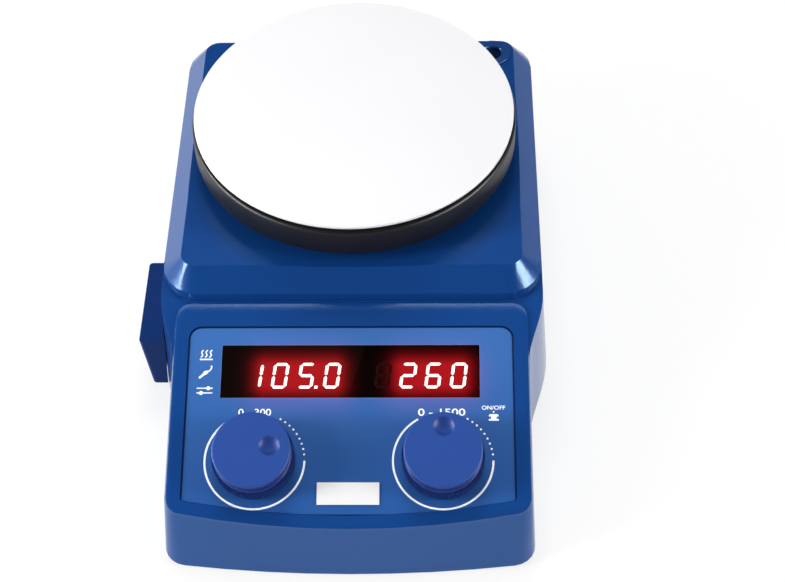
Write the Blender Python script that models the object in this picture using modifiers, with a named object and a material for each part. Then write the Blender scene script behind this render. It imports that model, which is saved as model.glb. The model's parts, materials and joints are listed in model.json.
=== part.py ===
# Hotplate magnetic stirrer with a sloping control console.
# Metres, +Z up. The front faces -Y. The origin is on the table, at the middle of the whole box.
# Pieces are built in a body frame whose origin is on the table under the middle of the plate,
# and the console's pieces in a frame that lies in the console's face.

import math

import bmesh
import bpy

MM = 0.001

# Clearances and facets
GAP = 0.3 * MM
OVERRUN = 2.0 * MM
MERGE = 0.01 * MM
ROUND_STEPS = 60
SMALL_STEPS = 20
TINY_STEPS = 12
CORNER_STEPS = 5
BOW_STEPS = 8
WAIST_STEPS = 8
EDGE_STEPS = 2
SMOOTH_ANGLE = math.radians(35.0)

# Housing: rear block with its deck
WALL = 3.0 * MM
BODY_BOTTOM_Z = 2.0 * MM
DECK_Z = 64.0 * MM
DECK_HALF_WIDTH = 69.7 * MM
DECK_FRONT_Y = -69.0 * MM
DECK_REAR_Y = 65.0 * MM
DECK_CORNER_RADIUS = 6.0 * MM
DECK_THICKNESS = 4.0 * MM
CHAMFER_REACH = 8.3 * MM
CHAMFER_FRONT_REACH = 7.6 * MM
CHAMFER_DROP = 9.2 * MM
BLOCK_CORNER_RADIUS = 16.0 * MM
BLOCK_DRAFT = 4.0 * MM
REAR_DRAFT = 1.2 * MM
DISH_RADIUS = 78.0 * MM
DISH_FLOOR_RADIUS = 60.0 * MM
DISH_DEPTH = 1.5 * MM

# Housing: console
CONSOLE_SLOPE = math.radians(17.0)
LIP_Y = -169.2 * MM
LIP_Z = 23.4 * MM
FACE_LENGTH = 96.4 * MM
FACE_SIDE_STEP = 5.9 * MM
FACE_REAR_RADIUS = 7.0 * MM
FACE_FRONT_RADIUS = 7.0 * MM
FACE_EDGE_RADIUS = 2.2 * MM
FACE_REAR_SLOPE = 5.0 * MM
FACE_BOW_RADIUS = 360.0 * MM
TOE_FLARE = 1.5 * MM
TOE_REACH = 6.8 * MM
TOE_RADIUS = 9.5 * MM
TOE_BOW_RADIUS = 545.0 * MM
CONSOLE_OVERLAP = 16.0 * MM

# Housing: waist between rear block and console
WAIST_START = 8.5 * MM
WAIST_LENGTH = 49.0 * MM
RIM_START = 4.0 * MM
RIM_LENGTH = 31.5 * MM
WAIST_INSET = 0.05 * MM
WAIST_SINK = 0.8 * MM
LEDGE_DROP = 1.6 * MM

# Console pieces
POCKET_DEPTH = 1.3 * MM
OVERLAY_THICKNESS = 0.4 * MM
OVERLAY_SIDE_MARGIN = 6.7 * MM
OVERLAY_MARGIN = 6.1 * MM
OVERLAY_TOP_V = 84.5 * MM
OVERLAY_TOP_RADIUS = 4.8 * MM
OVERLAY_BOTTOM_RADIUS = 1.5 * MM
WINDOW_SIDE_MARGIN = 13.8 * MM
WINDOW_TOP_MARGIN = 8.0 * MM
WINDOW_HEIGHT = 21.9 * MM
WINDOW_THICKNESS = 2.0 * MM
LED_SHORTFALL = 4.6 * MM
LED_SHORT_SHORTFALL = 15.6 * MM
LED_WIDTH = 18.0 * MM
LED_MARGIN = 1.6 * MM
LED_SHORT_MARGIN = 2.1 * MM
BOARD_THICKNESS = 1.6 * MM
BOARD_SIDE_REACH = 2.4 * MM
BOARD_LOW_V = 16.0 * MM
BOARD_TOP_MARGIN = 4.5 * MM
LABEL_LENGTH = 24.4 * MM
LABEL_WIDTH = 9.0 * MM
LABEL_THICKNESS = 0.2 * MM
LABEL_V = 14.7 * MM

# Controls
KNOB_SIDE_MARGIN = 28.3 * MM
KNOB_V = 28.2 * MM
KNOB_RADIUS = 15.4 * MM
KNOB_SKIRT_RADIUS = 16.3 * MM
KNOB_FLUTE_DEPTH = 0.25 * MM
KNOB_FLUTES = 40
KNOB_SKIRT_HEIGHT = 6.5 * MM
KNOB_HEIGHT = 13.3 * MM
KNOB_EDGE_RADIUS = 0.8 * MM
KNOB_WALL = 1.8 * MM
KNOB_ROOF = 2.2 * MM
KNOB_POST_RADIUS = 5.2 * MM
KNOB_RUNNING_GAP = 0.5 * MM
KNOB_TRAVEL = 0.8 * MM
DIMPLE_RADIUS = 4.1 * MM
DIMPLE_DEPTH = 1.3 * MM
DIMPLE_OFFSET = 8.6 * MM
HEAT_DIMPLE_ANGLE = math.radians(18.0)
SPEED_DIMPLE_ANGLE = math.radians(84.0)
SHAFT_RADIUS = 2.8 * MM
SHAFT_FLAT_DEPTH = 0.8 * MM
SHAFT_FLANGE = 0.4 * MM
BUSHING_WALL = 0.9 * MM
BUSHING_REACH = 2.9 * MM
ENCODER_SIDE = 12.4 * MM
ENCODER_HEIGHT = 5.9 * MM
ENCODER_BORE_RADIUS = 4.6 * MM
ENCODER_BORE_DEPTH = 3.6 * MM
PLUNGER_THICKNESS = 1.2 * MM
NUT_RADIUS = 6.5 * MM
NUT_THICKNESS = 2.0 * MM
NUT_CLEARANCE = 0.6 * MM

# Plate, from the deck up
PLATE_RADIUS = 67.5 * MM
COVER_THICKNESS = 1.0 * MM
COVER_EDGE_RADIUS = 0.5 * MM
HEATING_PLATE_SINK = 1.7 * MM
HEATING_PLATE_THICKNESS = 3.0 * MM
PAN_RADIUS = 68.5 * MM
PAN_WALL = 2.2 * MM
PAN_HEIGHT = 12.4 * MM
PAN_FLOOR = 1.5 * MM
PAN_EDGE_RADIUS = 1.1 * MM
PAN_AIR_GAP = 6.0 * MM
PAN_WIRE_HOLE_RADIUS = 5.0 * MM
HEATER_INSET = 6.0 * MM
HEATER_HOLE_RADIUS = 12.0 * MM
HEATER_THICKNESS = 1.5 * MM
SENSOR_RADIUS = 3.0 * MM
SENSOR_X = 24.0 * MM
NECK_RADIUS = 55.0 * MM
NECK_WALL = 2.5 * MM
NECK_LUG_RADIUS = 4.6 * MM
NECK_LUG_INSET = 3.4 * MM
PLATE_SCREW_COUNT = 3
PLATE_SCREW_ANGLE = math.radians(90.0)

# Fasteners
SCREW_RADIUS = 1.5 * MM
SCREW_HEAD_RADIUS = 3.0 * MM
SCREW_HEAD_HEIGHT = 1.8 * MM
SCREW_BITE = 8.0 * MM
PLATE_SCREW_RADIUS = 2.0 * MM
BOSS_RADIUS = 4.6 * MM

# Motor and magnets, on the plate's axis
MOTOR_MARGIN = 5.4 * MM
MOTOR_HEIGHT = 21.7 * MM
MOTOR_WALL = 1.5 * MM
MOTOR_ROOF = 2.0 * MM
MOTOR_NOSE_RADIUS = 9.0 * MM
MOTOR_NOSE_RISE = 3.5 * MM
MOTOR_NOSE_ROOF = 1.3 * MM
BEARING_RADIUS = 6.5 * MM
BEARING_HEIGHT = 3.7 * MM
MOTOR_SHAFT_RADIUS = 3.0 * MM
MOTOR_SHAFT_CLEARANCE = 1.5 * MM
END_PLATE_THICKNESS = 2.0 * MM
STATOR_HEIGHT = 11.0 * MM
STATOR_BAND = 11.7 * MM
ROTOR_AIR_GAP = 0.6 * MM
BRACKET_RADIUS = 44.0 * MM
BRACKET_THICKNESS = 1.5 * MM
BRACKET_HOLE_RADIUS = 14.0 * MM
BRACKET_SCREW_INSET = 6.0 * MM
BRACKET_SCREW_COUNT = 3
BRACKET_SCREW_ANGLE = math.radians(30.0)
HOLDER_LENGTH = 74.0 * MM
HOLDER_WIDTH = 17.0 * MM
HOLDER_CORNER_RADIUS = 4.2 * MM
HOLDER_HEIGHT = 4.8 * MM
HOLDER_RISE = 1.9 * MM
HOLDER_SKIN = 0.8 * MM
SHAFT_STUB = 0.2 * MM
MAGNET_RADIUS = 7.0 * MM
MAGNET_SPACING = 54.0 * MM

# Base plate, feet and power board
BASE_PLATE_RISE = 1.5 * MM
BASE_PLATE_THICKNESS = 1.5 * MM
BASE_EDGE_GAP = 0.6 * MM
BASE_TONGUE_GAP = 1.2 * MM
FOOT_RADIUS = 7.5 * MM
FOOT_EDGE_RADIUS = 1.0 * MM
FOOT_STEM_RADIUS = 2.5 * MM
FOOT_STEM_RISE = 2.5 * MM
FOOT_INSET = 22.0 * MM
FOOT_FRONT_Y = -152.0 * MM
FOOT_REAR_Y = 52.0 * MM
BOSS_REAR_INSET = 12.0 * MM
BOSS_REAR_Y = 26.0 * MM
BOSS_FRONT_INSET = 11.1 * MM
BOSS_FRONT_Y = -128.0 * MM
VENT_COUNT = 7
VENT_LENGTH = 56.0 * MM
VENT_WIDTH = 3.0 * MM
VENT_PITCH = 8.0 * MM
VENT_Y = -92.0 * MM
POWER_BOARD_INSET = 30.0 * MM
POWER_BOARD_WIDTH = 60.0 * MM
POWER_BOARD_RISE = 7.0 * MM
POWER_BOARD_X = -8.0 * MM
POWER_BOARD_Y = -8.0 * MM
STANDOFF_RADIUS = 3.0 * MM
STANDOFF_INSET = 5.0 * MM
STANDOFF_PIN_RADIUS = 1.5 * MM
TRANSFORMER_SIDE = 28.0 * MM
TRANSFORMER_INSET = 14.0 * MM
TRANSFORMER_HEIGHT = 17.0 * MM
TRANSFORMER_COIL_SHARE = 0.62
RELAY_INSET = 29.0 * MM
RELAY_WIDTH = 15.5 * MM
RELAY_HEIGHT = 15.0 * MM
BOARD_PART_MARGIN = 2.0 * MM
CAPACITOR_RADIUS = 6.0 * MM
CAPACITOR_HEIGHT = 16.0 * MM
CAPACITOR_X = -4.0 * MM
TERMINAL_LENGTH = 40.0 * MM
TERMINAL_WIDTH = 8.0 * MM
TERMINAL_HEIGHT = 10.0 * MM
HEAT_SINK_LENGTH = 44.0 * MM
HEAT_SINK_WIDTH = 9.0 * MM
HEAT_SINK_HEIGHT = 16.0 * MM

# Rear wall pieces
INLET_INSET = 40.0 * MM
INLET_Z = 29.0 * MM
INLET_WIDTH = 32.0 * MM
INLET_HEIGHT = 38.0 * MM
INLET_FLANGE = 2.5 * MM
INLET_BORDER = 2.2 * MM
INLET_BODY_DEPTH = 24.0 * MM
CAVITY_WIDTH = 24.0 * MM
CAVITY_HEIGHT = 16.4 * MM
CAVITY_DEPTH = 15.5 * MM
CAVITY_RISE = 7.4 * MM
BLADE_WIDTH = 4.0 * MM
BLADE_THICKNESS = 2.0 * MM
BLADE_LENGTH = 10.0 * MM
BLADE_PITCH = 7.0 * MM
BLADE_EARTH_RISE = 2.0 * MM
DRAWER_WIDTH = 22.0 * MM
DRAWER_HEIGHT = 8.6 * MM
DRAWER_DEPTH = 20.0 * MM
DRAWER_FALL = 10.6 * MM
DRAWER_FACE = 1.2 * MM
DRAWER_LIP = 1.4 * MM
DRAWER_TROUGH_RADIUS = 3.0 * MM
SOCKET_INSET = 40.0 * MM
SOCKET_Z = 30.0 * MM
SOCKET_FLANGE_RADIUS = 9.0 * MM
SOCKET_FLANGE = 1.5 * MM
SOCKET_RADIUS = 7.0 * MM
SOCKET_BORE_RADIUS = 4.6 * MM
SOCKET_DEPTH = 9.0 * MM
SOCKET_LENGTH = 14.0 * MM

# Side switch pod
POD_FRONT_Y = -82.0 * MM
POD_REAR_Y = -38.3 * MM
POD_TOP_Z = 30.0 * MM
POD_PROUD = 7.5 * MM
POD_DRAFT = 2.5 * MM
POD_WALL = 1.8 * MM
POD_CORNER_RADIUS = 1.6 * MM
SWITCH_LENGTH = 21.0 * MM
SWITCH_HEIGHT = 14.0 * MM
SWITCH_PROUD = 0.6 * MM
SWITCH_WALL = 1.4 * MM
ROCKER_TILT = math.radians(7.0)
ROCKER_LIP = 1.7 * MM
ROCKER_DISH = 0.4 * MM
ROCKER_DEPTH = 4.0 * MM
ROCKER_FLOOR_GAP = 1.5 * MM
ROCKER_END_GAP = 0.8 * MM
POD_WIRE_WIDTH = 14.0 * MM
POD_WIRE_HEIGHT = 12.0 * MM

# Support rod bush in the deck
ROD_INSET = 9.5 * MM
ROD_Y = 56.5 * MM
ROD_BORE_RADIUS = 4.0 * MM
ROD_BUSH_RADIUS = 6.4 * MM
ROD_COLLAR_RADIUS = 7.9 * MM
ROD_COLLAR_HEIGHT = 0.6 * MM
ROD_BUSH_LENGTH = 24.0 * MM
ROD_BUSH_FLOOR = 2.0 * MM
ROD_BOSS_WALL = 2.6 * MM

# Worked out from the sizes above
BLOCK_TOP_Z = DECK_Z - CHAMFER_DROP
BLOCK_HALF_WIDTH = DECK_HALF_WIDTH + CHAMFER_REACH
FACE_HALF_WIDTH = BLOCK_HALF_WIDTH - FACE_SIDE_STEP
TOE_HALF_WIDTH = FACE_HALF_WIDTH + TOE_FLARE
OVERLAY_HALF_WIDTH = FACE_HALF_WIDTH - OVERLAY_SIDE_MARGIN
KNOB_SPACING = 2 * (OVERLAY_HALF_WIDTH - KNOB_SIDE_MARGIN)
WINDOW_HALF_WIDTH = OVERLAY_HALF_WIDTH - WINDOW_SIDE_MARGIN
WINDOW_LOW_V = OVERLAY_TOP_V - WINDOW_TOP_MARGIN - WINDOW_HEIGHT
LED_LENGTH = WINDOW_HALF_WIDTH - LED_SHORTFALL
LED_SHORT_LENGTH = WINDOW_HALF_WIDTH - LED_SHORT_SHORTFALL
LED_X = LED_LENGTH / 2 + LED_MARGIN - WINDOW_HALF_WIDTH
LED_SHORT_X = WINDOW_HALF_WIDTH - LED_SHORT_LENGTH / 2 - LED_SHORT_MARGIN
BOARD_HALF_WIDTH = WINDOW_HALF_WIDTH + BOARD_SIDE_REACH
BOARD_HIGH_V = OVERLAY_TOP_V - BOARD_TOP_MARGIN
BLOCK_FRONT_Y = DECK_FRONT_Y - CHAMFER_FRONT_REACH
BLOCK_REAR_Y = DECK_REAR_Y + CHAMFER_REACH
DECK_UNDER_Z = DECK_Z - DECK_THICKNESS
DISH_Z = DECK_Z - DISH_DEPTH
HOLLOW_KNEE_Z = BLOCK_TOP_Z - WALL / 2
HOLLOW_ROOF_INSET = WALL / 3
PAN_BOTTOM_Z = DECK_Z + PAN_AIR_GAP
PAN_TOP_Z = PAN_BOTTOM_Z + PAN_HEIGHT
PAN_FLOOR_Z = PAN_BOTTOM_Z + PAN_FLOOR
PAN_INNER_RADIUS = PAN_RADIUS - PAN_WALL
HEATING_PLATE_Z = PAN_TOP_Z - HEATING_PLATE_SINK
COVER_Z = HEATING_PLATE_Z + HEATING_PLATE_THICKNESS + GAP
PLATE_TOP_Z = COVER_Z + COVER_THICKNESS
HEATER_Z = HEATING_PLATE_Z - GAP - HEATER_THICKNESS
NECK_SCREW_CIRCLE = NECK_RADIUS - NECK_WALL - NECK_LUG_INSET
BASE_PLATE_Z = BODY_BOTTOM_Z + BASE_PLATE_RISE
BASE_PLATE_TOP_Z = BASE_PLATE_Z + BASE_PLATE_THICKNESS
BOSS_BOTTOM_Z = BASE_PLATE_TOP_Z + GAP
MOTOR_TOP_Z = DECK_UNDER_Z - GAP
MOTOR_BOTTOM_Z = MOTOR_TOP_Z - MOTOR_HEIGHT
NOSE_TOP_Z = MOTOR_TOP_Z + MOTOR_NOSE_RISE
BRACKET_TOP_Z = MOTOR_BOTTOM_Z - GAP
BRACKET_Z = BRACKET_TOP_Z - BRACKET_THICKNESS
BRACKET_SCREW_CIRCLE = BRACKET_RADIUS - BRACKET_SCREW_INSET
MOTOR_RADIUS = BRACKET_SCREW_CIRCLE - BOSS_RADIUS - MOTOR_MARGIN
STATOR_BORE_RADIUS = MOTOR_RADIUS - STATOR_BAND
HOLDER_Z = DISH_Z + HOLDER_RISE
HOLDER_TOP_Z = HOLDER_Z + HOLDER_HEIGHT
FOOT_X = BLOCK_HALF_WIDTH - FOOT_INSET
BOSS_REAR_X = BLOCK_HALF_WIDTH - BOSS_REAR_INSET
BOSS_FRONT_X = FACE_HALF_WIDTH - BOSS_FRONT_INSET
INLET_X = INLET_INSET - BLOCK_HALF_WIDTH
SOCKET_X = BLOCK_HALF_WIDTH - SOCKET_INSET
ROD_X = DECK_HALF_WIDTH - ROD_INSET
POWER_BOARD_LENGTH = 2 * (BLOCK_HALF_WIDTH - POWER_BOARD_INSET)
TRANSFORMER_LENGTH = POWER_BOARD_LENGTH / 2 - TRANSFORMER_INSET
RELAY_LENGTH = POWER_BOARD_LENGTH / 2 - RELAY_INSET
POWER_BOARD_Z = BASE_PLATE_TOP_Z + POWER_BOARD_RISE
POWER_BOARD_TOP_Z = POWER_BOARD_Z + BOARD_THICKNESS
OVERLAY_TOP_H = -POCKET_DEPTH + GAP + OVERLAY_THICKNESS
FACE_UNDER_H = -POCKET_DEPTH - WALL
WINDOW_TOP_H = OVERLAY_TOP_H
WINDOW_UNDER_H = WINDOW_TOP_H - WINDOW_THICKNESS
ENCODER_TOP_H = FACE_UNDER_H - GAP
BOARD_TOP_H = ENCODER_TOP_H - ENCODER_HEIGHT - GAP
KNOB_BOTTOM_H = OVERLAY_TOP_H + KNOB_TRAVEL + KNOB_RUNNING_GAP
KNOB_TOP_H = KNOB_BOTTOM_H + KNOB_HEIGHT
BUSHING_RADIUS = SHAFT_RADIUS + GAP + BUSHING_WALL
BUSHING_TOP_H = BUSHING_REACH - POCKET_DEPTH
ROCKER_HALF = SWITCH_LENGTH / 2 - SWITCH_WALL - ROCKER_END_GAP
ROCKER_REACH = ROCKER_LIP * math.cos(ROCKER_TILT) + ROCKER_HALF * math.sin(ROCKER_TILT) - ROCKER_FLOOR_GAP
POD_REACH = BLOCK_HALF_WIDTH + BLOCK_DRAFT + POD_PROUD
POD_ROOT = BLOCK_HALF_WIDTH - WALL
SWITCH_DEPTH = POD_PROUD + SWITCH_PROUD - GAP
BODY_X = (POD_REACH + SWITCH_PROUD + ROCKER_REACH - BLOCK_HALF_WIDTH - BLOCK_DRAFT) / 2
TOE_Y = LIP_Y - TOE_REACH
REAR_FACE_Y = BLOCK_REAR_Y + REAR_DRAFT + INLET_FLANGE
BODY_Y = -(TOE_Y + REAR_FACE_Y) / 2


def make_collection(name):
    """A new collection in the scene."""
    collection = bpy.data.collections.new(name)
    bpy.context.scene.collection.children.link(collection)
    return collection


def make_empty(name, location, parent=None, tilt=0.0):
    """A frame that other pieces are placed in, turned about X by tilt."""
    empty = bpy.data.objects.new(name, None)
    empty.location = location
    empty.rotation_euler.x = tilt
    empty.parent = parent
    PARTS.objects.link(empty)
    return empty


def make_material(name, color, roughness, metallic=0.0):
    """A Principled material with one colour."""
    made = bpy.data.materials.new(name)
    made.use_nodes = True
    shader = made.node_tree.nodes["Principled BSDF"]
    shader.inputs["Base Color"].default_value = (*color, 1.0)
    shader.inputs["Roughness"].default_value = roughness
    shader.inputs["Metallic"].default_value = metallic
    made.diffuse_color = (*color, 1.0)
    return made


def as_object(name, mesh_builder, parent, location=(0, 0, 0)):
    """Turn a bmesh into an object in the parts collection."""
    bmesh.ops.recalc_face_normals(mesh_builder, faces=mesh_builder.faces)
    mesh = bpy.data.meshes.new(name)
    mesh_builder.to_mesh(mesh)
    mesh_builder.free()
    made = bpy.data.objects.new(name, mesh)
    made.parent = parent
    made.location = location
    PARTS.objects.link(made)
    return made


def finish(made, color, roughness, metallic=0.0):
    """Give a finished piece its material and smooth shading on round faces."""
    made.data.materials.clear()
    made.data.materials.append(make_material(made.name, color, roughness, metallic))
    made.data.shade_smooth()
    made.data.set_sharp_from_angle(angle=SMOOTH_ANGLE)
    return made


def combine(target, tool, operation="DIFFERENCE"):
    """Cut the tool from the target, or join it, and put the tool with the cutters."""
    step = target.modifiers.new(tool.name, "BOOLEAN")
    step.object = tool
    step.operation = operation
    step.solver = "EXACT"
    PARTS.objects.unlink(tool)
    CUTTERS.objects.link(tool)
    tool.hide_render = True
    tool.display_type = "WIRE"
    return target


def add_cylinder(builder, radius, low, high, x=0.0, y=0.0, segments=SMALL_STEPS):
    """Add an upright cylinder to a bmesh."""
    made = bmesh.ops.create_cone(
        builder, cap_ends=True, segments=segments, radius1=radius, radius2=radius, depth=high - low
    )
    bmesh.ops.translate(builder, verts=made["verts"], vec=(x, y, (low + high) / 2))


def add_box(builder, low, high):
    """Add a box between two corners to a bmesh."""
    made = bmesh.ops.create_cube(builder, size=1.0)
    size = [high[i] - low[i] for i in range(3)]
    middle = [(high[i] + low[i]) / 2 for i in range(3)]
    bmesh.ops.scale(builder, verts=made["verts"], vec=size)
    bmesh.ops.translate(builder, verts=made["verts"], vec=middle)


def box(name, parent, low, high):
    """A box object between two corners."""
    builder = bmesh.new()
    add_box(builder, low, high)
    return as_object(name, builder, parent)


def cylinders(name, parent, places, segments=SMALL_STEPS):
    """One object of upright cylinders, each given as radius, low, high, x and y."""
    builder = bmesh.new()
    for radius, low, high, x, y in places:
        add_cylinder(builder, radius, low, high, x, y, segments)
    return as_object(name, builder, parent)


def turned(name, parent, profile, location=(0, 0, 0), segments=SMALL_STEPS):
    """A turned piece: its profile starts at the top and runs down the outer side."""
    mesh = bpy.data.meshes.new(name)
    closed = profile[0][0] > 0 or profile[-1][0] > 0
    count = len(profile)
    edges = [(i, i + 1) for i in range(count - 1)]
    if closed:
        edges.append((count - 1, 0))
    mesh.from_pydata([(r, 0, z) for r, z in profile], edges, [])
    made = bpy.data.objects.new(name, mesh)
    made.parent = parent
    made.location = location
    PARTS.objects.link(made)
    screw = made.modifiers.new("turn", "SCREW")
    screw.steps = segments
    screw.render_steps = segments
    screw.use_merge_vertices = True
    screw.merge_threshold = MERGE
    screw.use_smooth_shade = True
    return made


def loft(name, parent, rings):
    """A solid through rings that have the same number of points, from the lowest to the highest."""
    builder = bmesh.new()
    rows = [[builder.verts.new(point) for point in ring] for ring in rings]
    count = len(rows[0])
    for lower, upper in zip(rows, rows[1:]):
        for i in range(count):
            j = (i + 1) % count
            builder.faces.new((lower[i], lower[j], upper[j], upper[i]))
    builder.faces.new(list(reversed(rows[0])))
    builder.faces.new(rows[-1])
    return as_object(name, builder, parent)


def arc(center_x, center_y, radius, start, end, steps):
    """Points on an arc, with both ends."""
    return [
        (
            center_x + radius * math.cos(start + (end - start) * i / steps),
            center_y + radius * math.sin(start + (end - start) * i / steps),
        )
        for i in range(steps + 1)
    ]


def rounded_outline(half_width, front, rear, front_radius, rear_radius, center_x=0.0):
    """A rectangle with round corners, counter-clockwise from its left front corner."""
    quarter = math.pi / 2
    corners = (
        (-1, front + front_radius, front_radius, 2 * quarter),
        (1, front + front_radius, front_radius, 3 * quarter),
        (1, rear - rear_radius, rear_radius, 0.0),
        (-1, rear - rear_radius, rear_radius, quarter),
    )
    points = []
    for side, y, radius, start in corners:
        x = center_x + side * (half_width - radius)
        points += arc(x, y, radius, start, start + quarter, CORNER_STEPS)
    return points


def bowed_outline(half_width, front, rear, front_radius, rear_radius, bow_radius):
    """A rounded rectangle whose front edge bows out, tangent to its round corners."""
    quarter = math.pi / 2
    reach = half_width - front_radius
    swing = math.asin(reach / (bow_radius - front_radius))
    corner_y = front + bow_radius - (bow_radius - front_radius) * math.cos(swing)
    points = arc(-reach, corner_y, front_radius, 2 * quarter, 3 * quarter - swing, CORNER_STEPS)
    bow = arc(0.0, front + bow_radius, bow_radius, 3 * quarter - swing, 3 * quarter + swing, BOW_STEPS)
    points += bow[1:-1]
    points += arc(reach, corner_y, front_radius, 3 * quarter + swing, 4 * quarter, CORNER_STEPS)
    points += arc(half_width - rear_radius, rear - rear_radius, rear_radius, 0.0, quarter, CORNER_STEPS)
    rear_y = rear - rear_radius
    points += arc(rear_radius - half_width, rear_y, rear_radius, quarter, 2 * quarter, CORNER_STEPS)
    return points


def at_height(outline, z):
    """An outline's points at one height."""
    return [(x, y, z) for x, y in outline]


def on_face(outline, height):
    """Points given in the console's face, moved into the body frame."""
    slope_sine, slope_cosine = math.sin(CONSOLE_SLOPE), math.cos(CONSOLE_SLOPE)
    return [
        (x, LIP_Y + v * slope_cosine - height * slope_sine, LIP_Z + v * slope_sine + height * slope_cosine)
        for x, v in outline
    ]


def depth_share(z):
    """How far down the rear block's walls a height is, from 0 at the chamfer to 1 at the bottom."""
    return (BLOCK_TOP_Z - z) / (BLOCK_TOP_Z - BODY_BOTTOM_Z)


def draft_at(z):
    """How far the rear block's side walls stand out at a height, because of their draft."""
    return BLOCK_DRAFT * depth_share(z)


def block_ring(z, inset, swell=0.0):
    """The rear block's outline at a height below its chamfer."""
    rear = BLOCK_REAR_Y + REAR_DRAFT * depth_share(z) - inset + swell
    return at_height(
        rounded_outline(
            BLOCK_HALF_WIDTH + draft_at(z) - inset + swell,
            BLOCK_FRONT_Y + inset - swell,
            rear,
            BLOCK_CORNER_RADIUS - inset,
            BLOCK_CORNER_RADIUS - inset,
        ),
        z,
    )


def rear_block(name, swell=0.0):
    """The rear block with its chamfered deck."""
    deck = rounded_outline(
        DECK_HALF_WIDTH, DECK_FRONT_Y, DECK_REAR_Y, DECK_CORNER_RADIUS, DECK_CORNER_RADIUS
    )
    return loft(
        name,
        BODY,
        [block_ring(BODY_BOTTOM_Z, 0.0, swell), block_ring(BLOCK_TOP_Z, 0.0, swell), at_height(deck, DECK_Z)],
    )


def waist_ring(height_of, swell, start, length):
    """The S-shaped outline between the rear block and the console, at a height that may follow y."""
    side = [BLOCK_FRONT_Y + 2 * WAIST_START]
    side += [start - length * i / WAIST_STEPS for i in range(WAIST_STEPS + 1)]
    right = []
    for y in side:
        z = height_of(y)
        share = min(max((start - y) / length, 0.0), 1.0)
        wide = BLOCK_HALF_WIDTH + draft_at(z)
        narrow = FACE_HALF_WIDTH + (TOE_HALF_WIDTH - FACE_HALF_WIDTH) * depth_share(z) - WAIST_SINK
        x = narrow + (wide - narrow) * (1 + math.cos(math.pi * share)) / 2
        right.append((x - WAIST_INSET + swell, y, z))
    left = [(-x, y, z) for x, y, z in right]
    return left + list(reversed(right))


def ledge_height(y):
    """The height of the narrow ledge beside the console's face."""
    return LIP_Z + (y - LIP_Y) * math.tan(CONSOLE_SLOPE) - LEDGE_DROP


def waist_block(name, swell=0.0):
    """The block that carries the waisted side walls."""
    base = waist_ring(lambda y: BODY_BOTTOM_Z, swell, BLOCK_FRONT_Y + WAIST_START, WAIST_LENGTH)
    rim = waist_ring(ledge_height, swell, BLOCK_FRONT_Y + RIM_START, RIM_LENGTH)
    return loft(name, BODY, [base, rim])


def face_outline(inset, rear_inset):
    """The console's outline in its own face, drawn in by an amount, with its own one at the rear."""
    return bowed_outline(
        FACE_HALF_WIDTH - inset,
        inset,
        FACE_LENGTH - rear_inset,
        FACE_FRONT_RADIUS - inset,
        FACE_REAR_RADIUS - inset,
        FACE_BOW_RADIUS - inset,
    )


def toe_outline(inset, z):
    """The console's outline near the table, drawn in by an amount."""
    lean = TOE_REACH * (LIP_Z - z) / (LIP_Z - BODY_BOTTOM_Z)
    return bowed_outline(
        TOE_HALF_WIDTH - inset,
        LIP_Y - lean + inset,
        BLOCK_FRONT_Y + CONSOLE_OVERLAP - inset,
        TOE_RADIUS - inset,
        TOE_RADIUS - inset,
        TOE_BOW_RADIUS - inset,
    )


def console_block(name):
    """The console: a rounded edge round its face, which slopes off gently at the rear."""
    rings = [at_height(toe_outline(0.0, BODY_BOTTOM_Z), BODY_BOTTOM_Z)]
    for i in range(EDGE_STEPS + 1):
        angle = math.pi / 2 * i / EDGE_STEPS
        inset = FACE_EDGE_RADIUS * (1 - math.cos(angle))
        outline = face_outline(inset, FACE_REAR_SLOPE * (i / EDGE_STEPS) ** 2)
        rings.append(on_face(outline, FACE_EDGE_RADIUS * (math.sin(angle) - 1)))
    return loft(name, BODY, rings)


def ring_places(count, circle, first_angle):
    """Points spread evenly on a circle."""
    return [
        (
            circle * math.cos(first_angle + 2 * math.pi * i / count),
            circle * math.sin(first_angle + 2 * math.pi * i / count),
        )
        for i in range(count)
    ]


def base_boss_places():
    """Where the base plate is screwed on."""
    rear = [(side * BOSS_REAR_X, BOSS_REAR_Y) for side in (-1, 1)]
    front = [(side * BOSS_FRONT_X, BOSS_FRONT_Y) for side in (-1, 1)]
    return front + rear


def bracket_places():
    """Where the motor bracket is screwed on."""
    return ring_places(BRACKET_SCREW_COUNT, BRACKET_SCREW_CIRCLE, BRACKET_SCREW_ANGLE)


def plate_screw_places():
    """Where the plate assembly is screwed to the deck."""
    return ring_places(PLATE_SCREW_COUNT, NECK_SCREW_CIRCLE, PLATE_SCREW_ANGLE)


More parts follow.
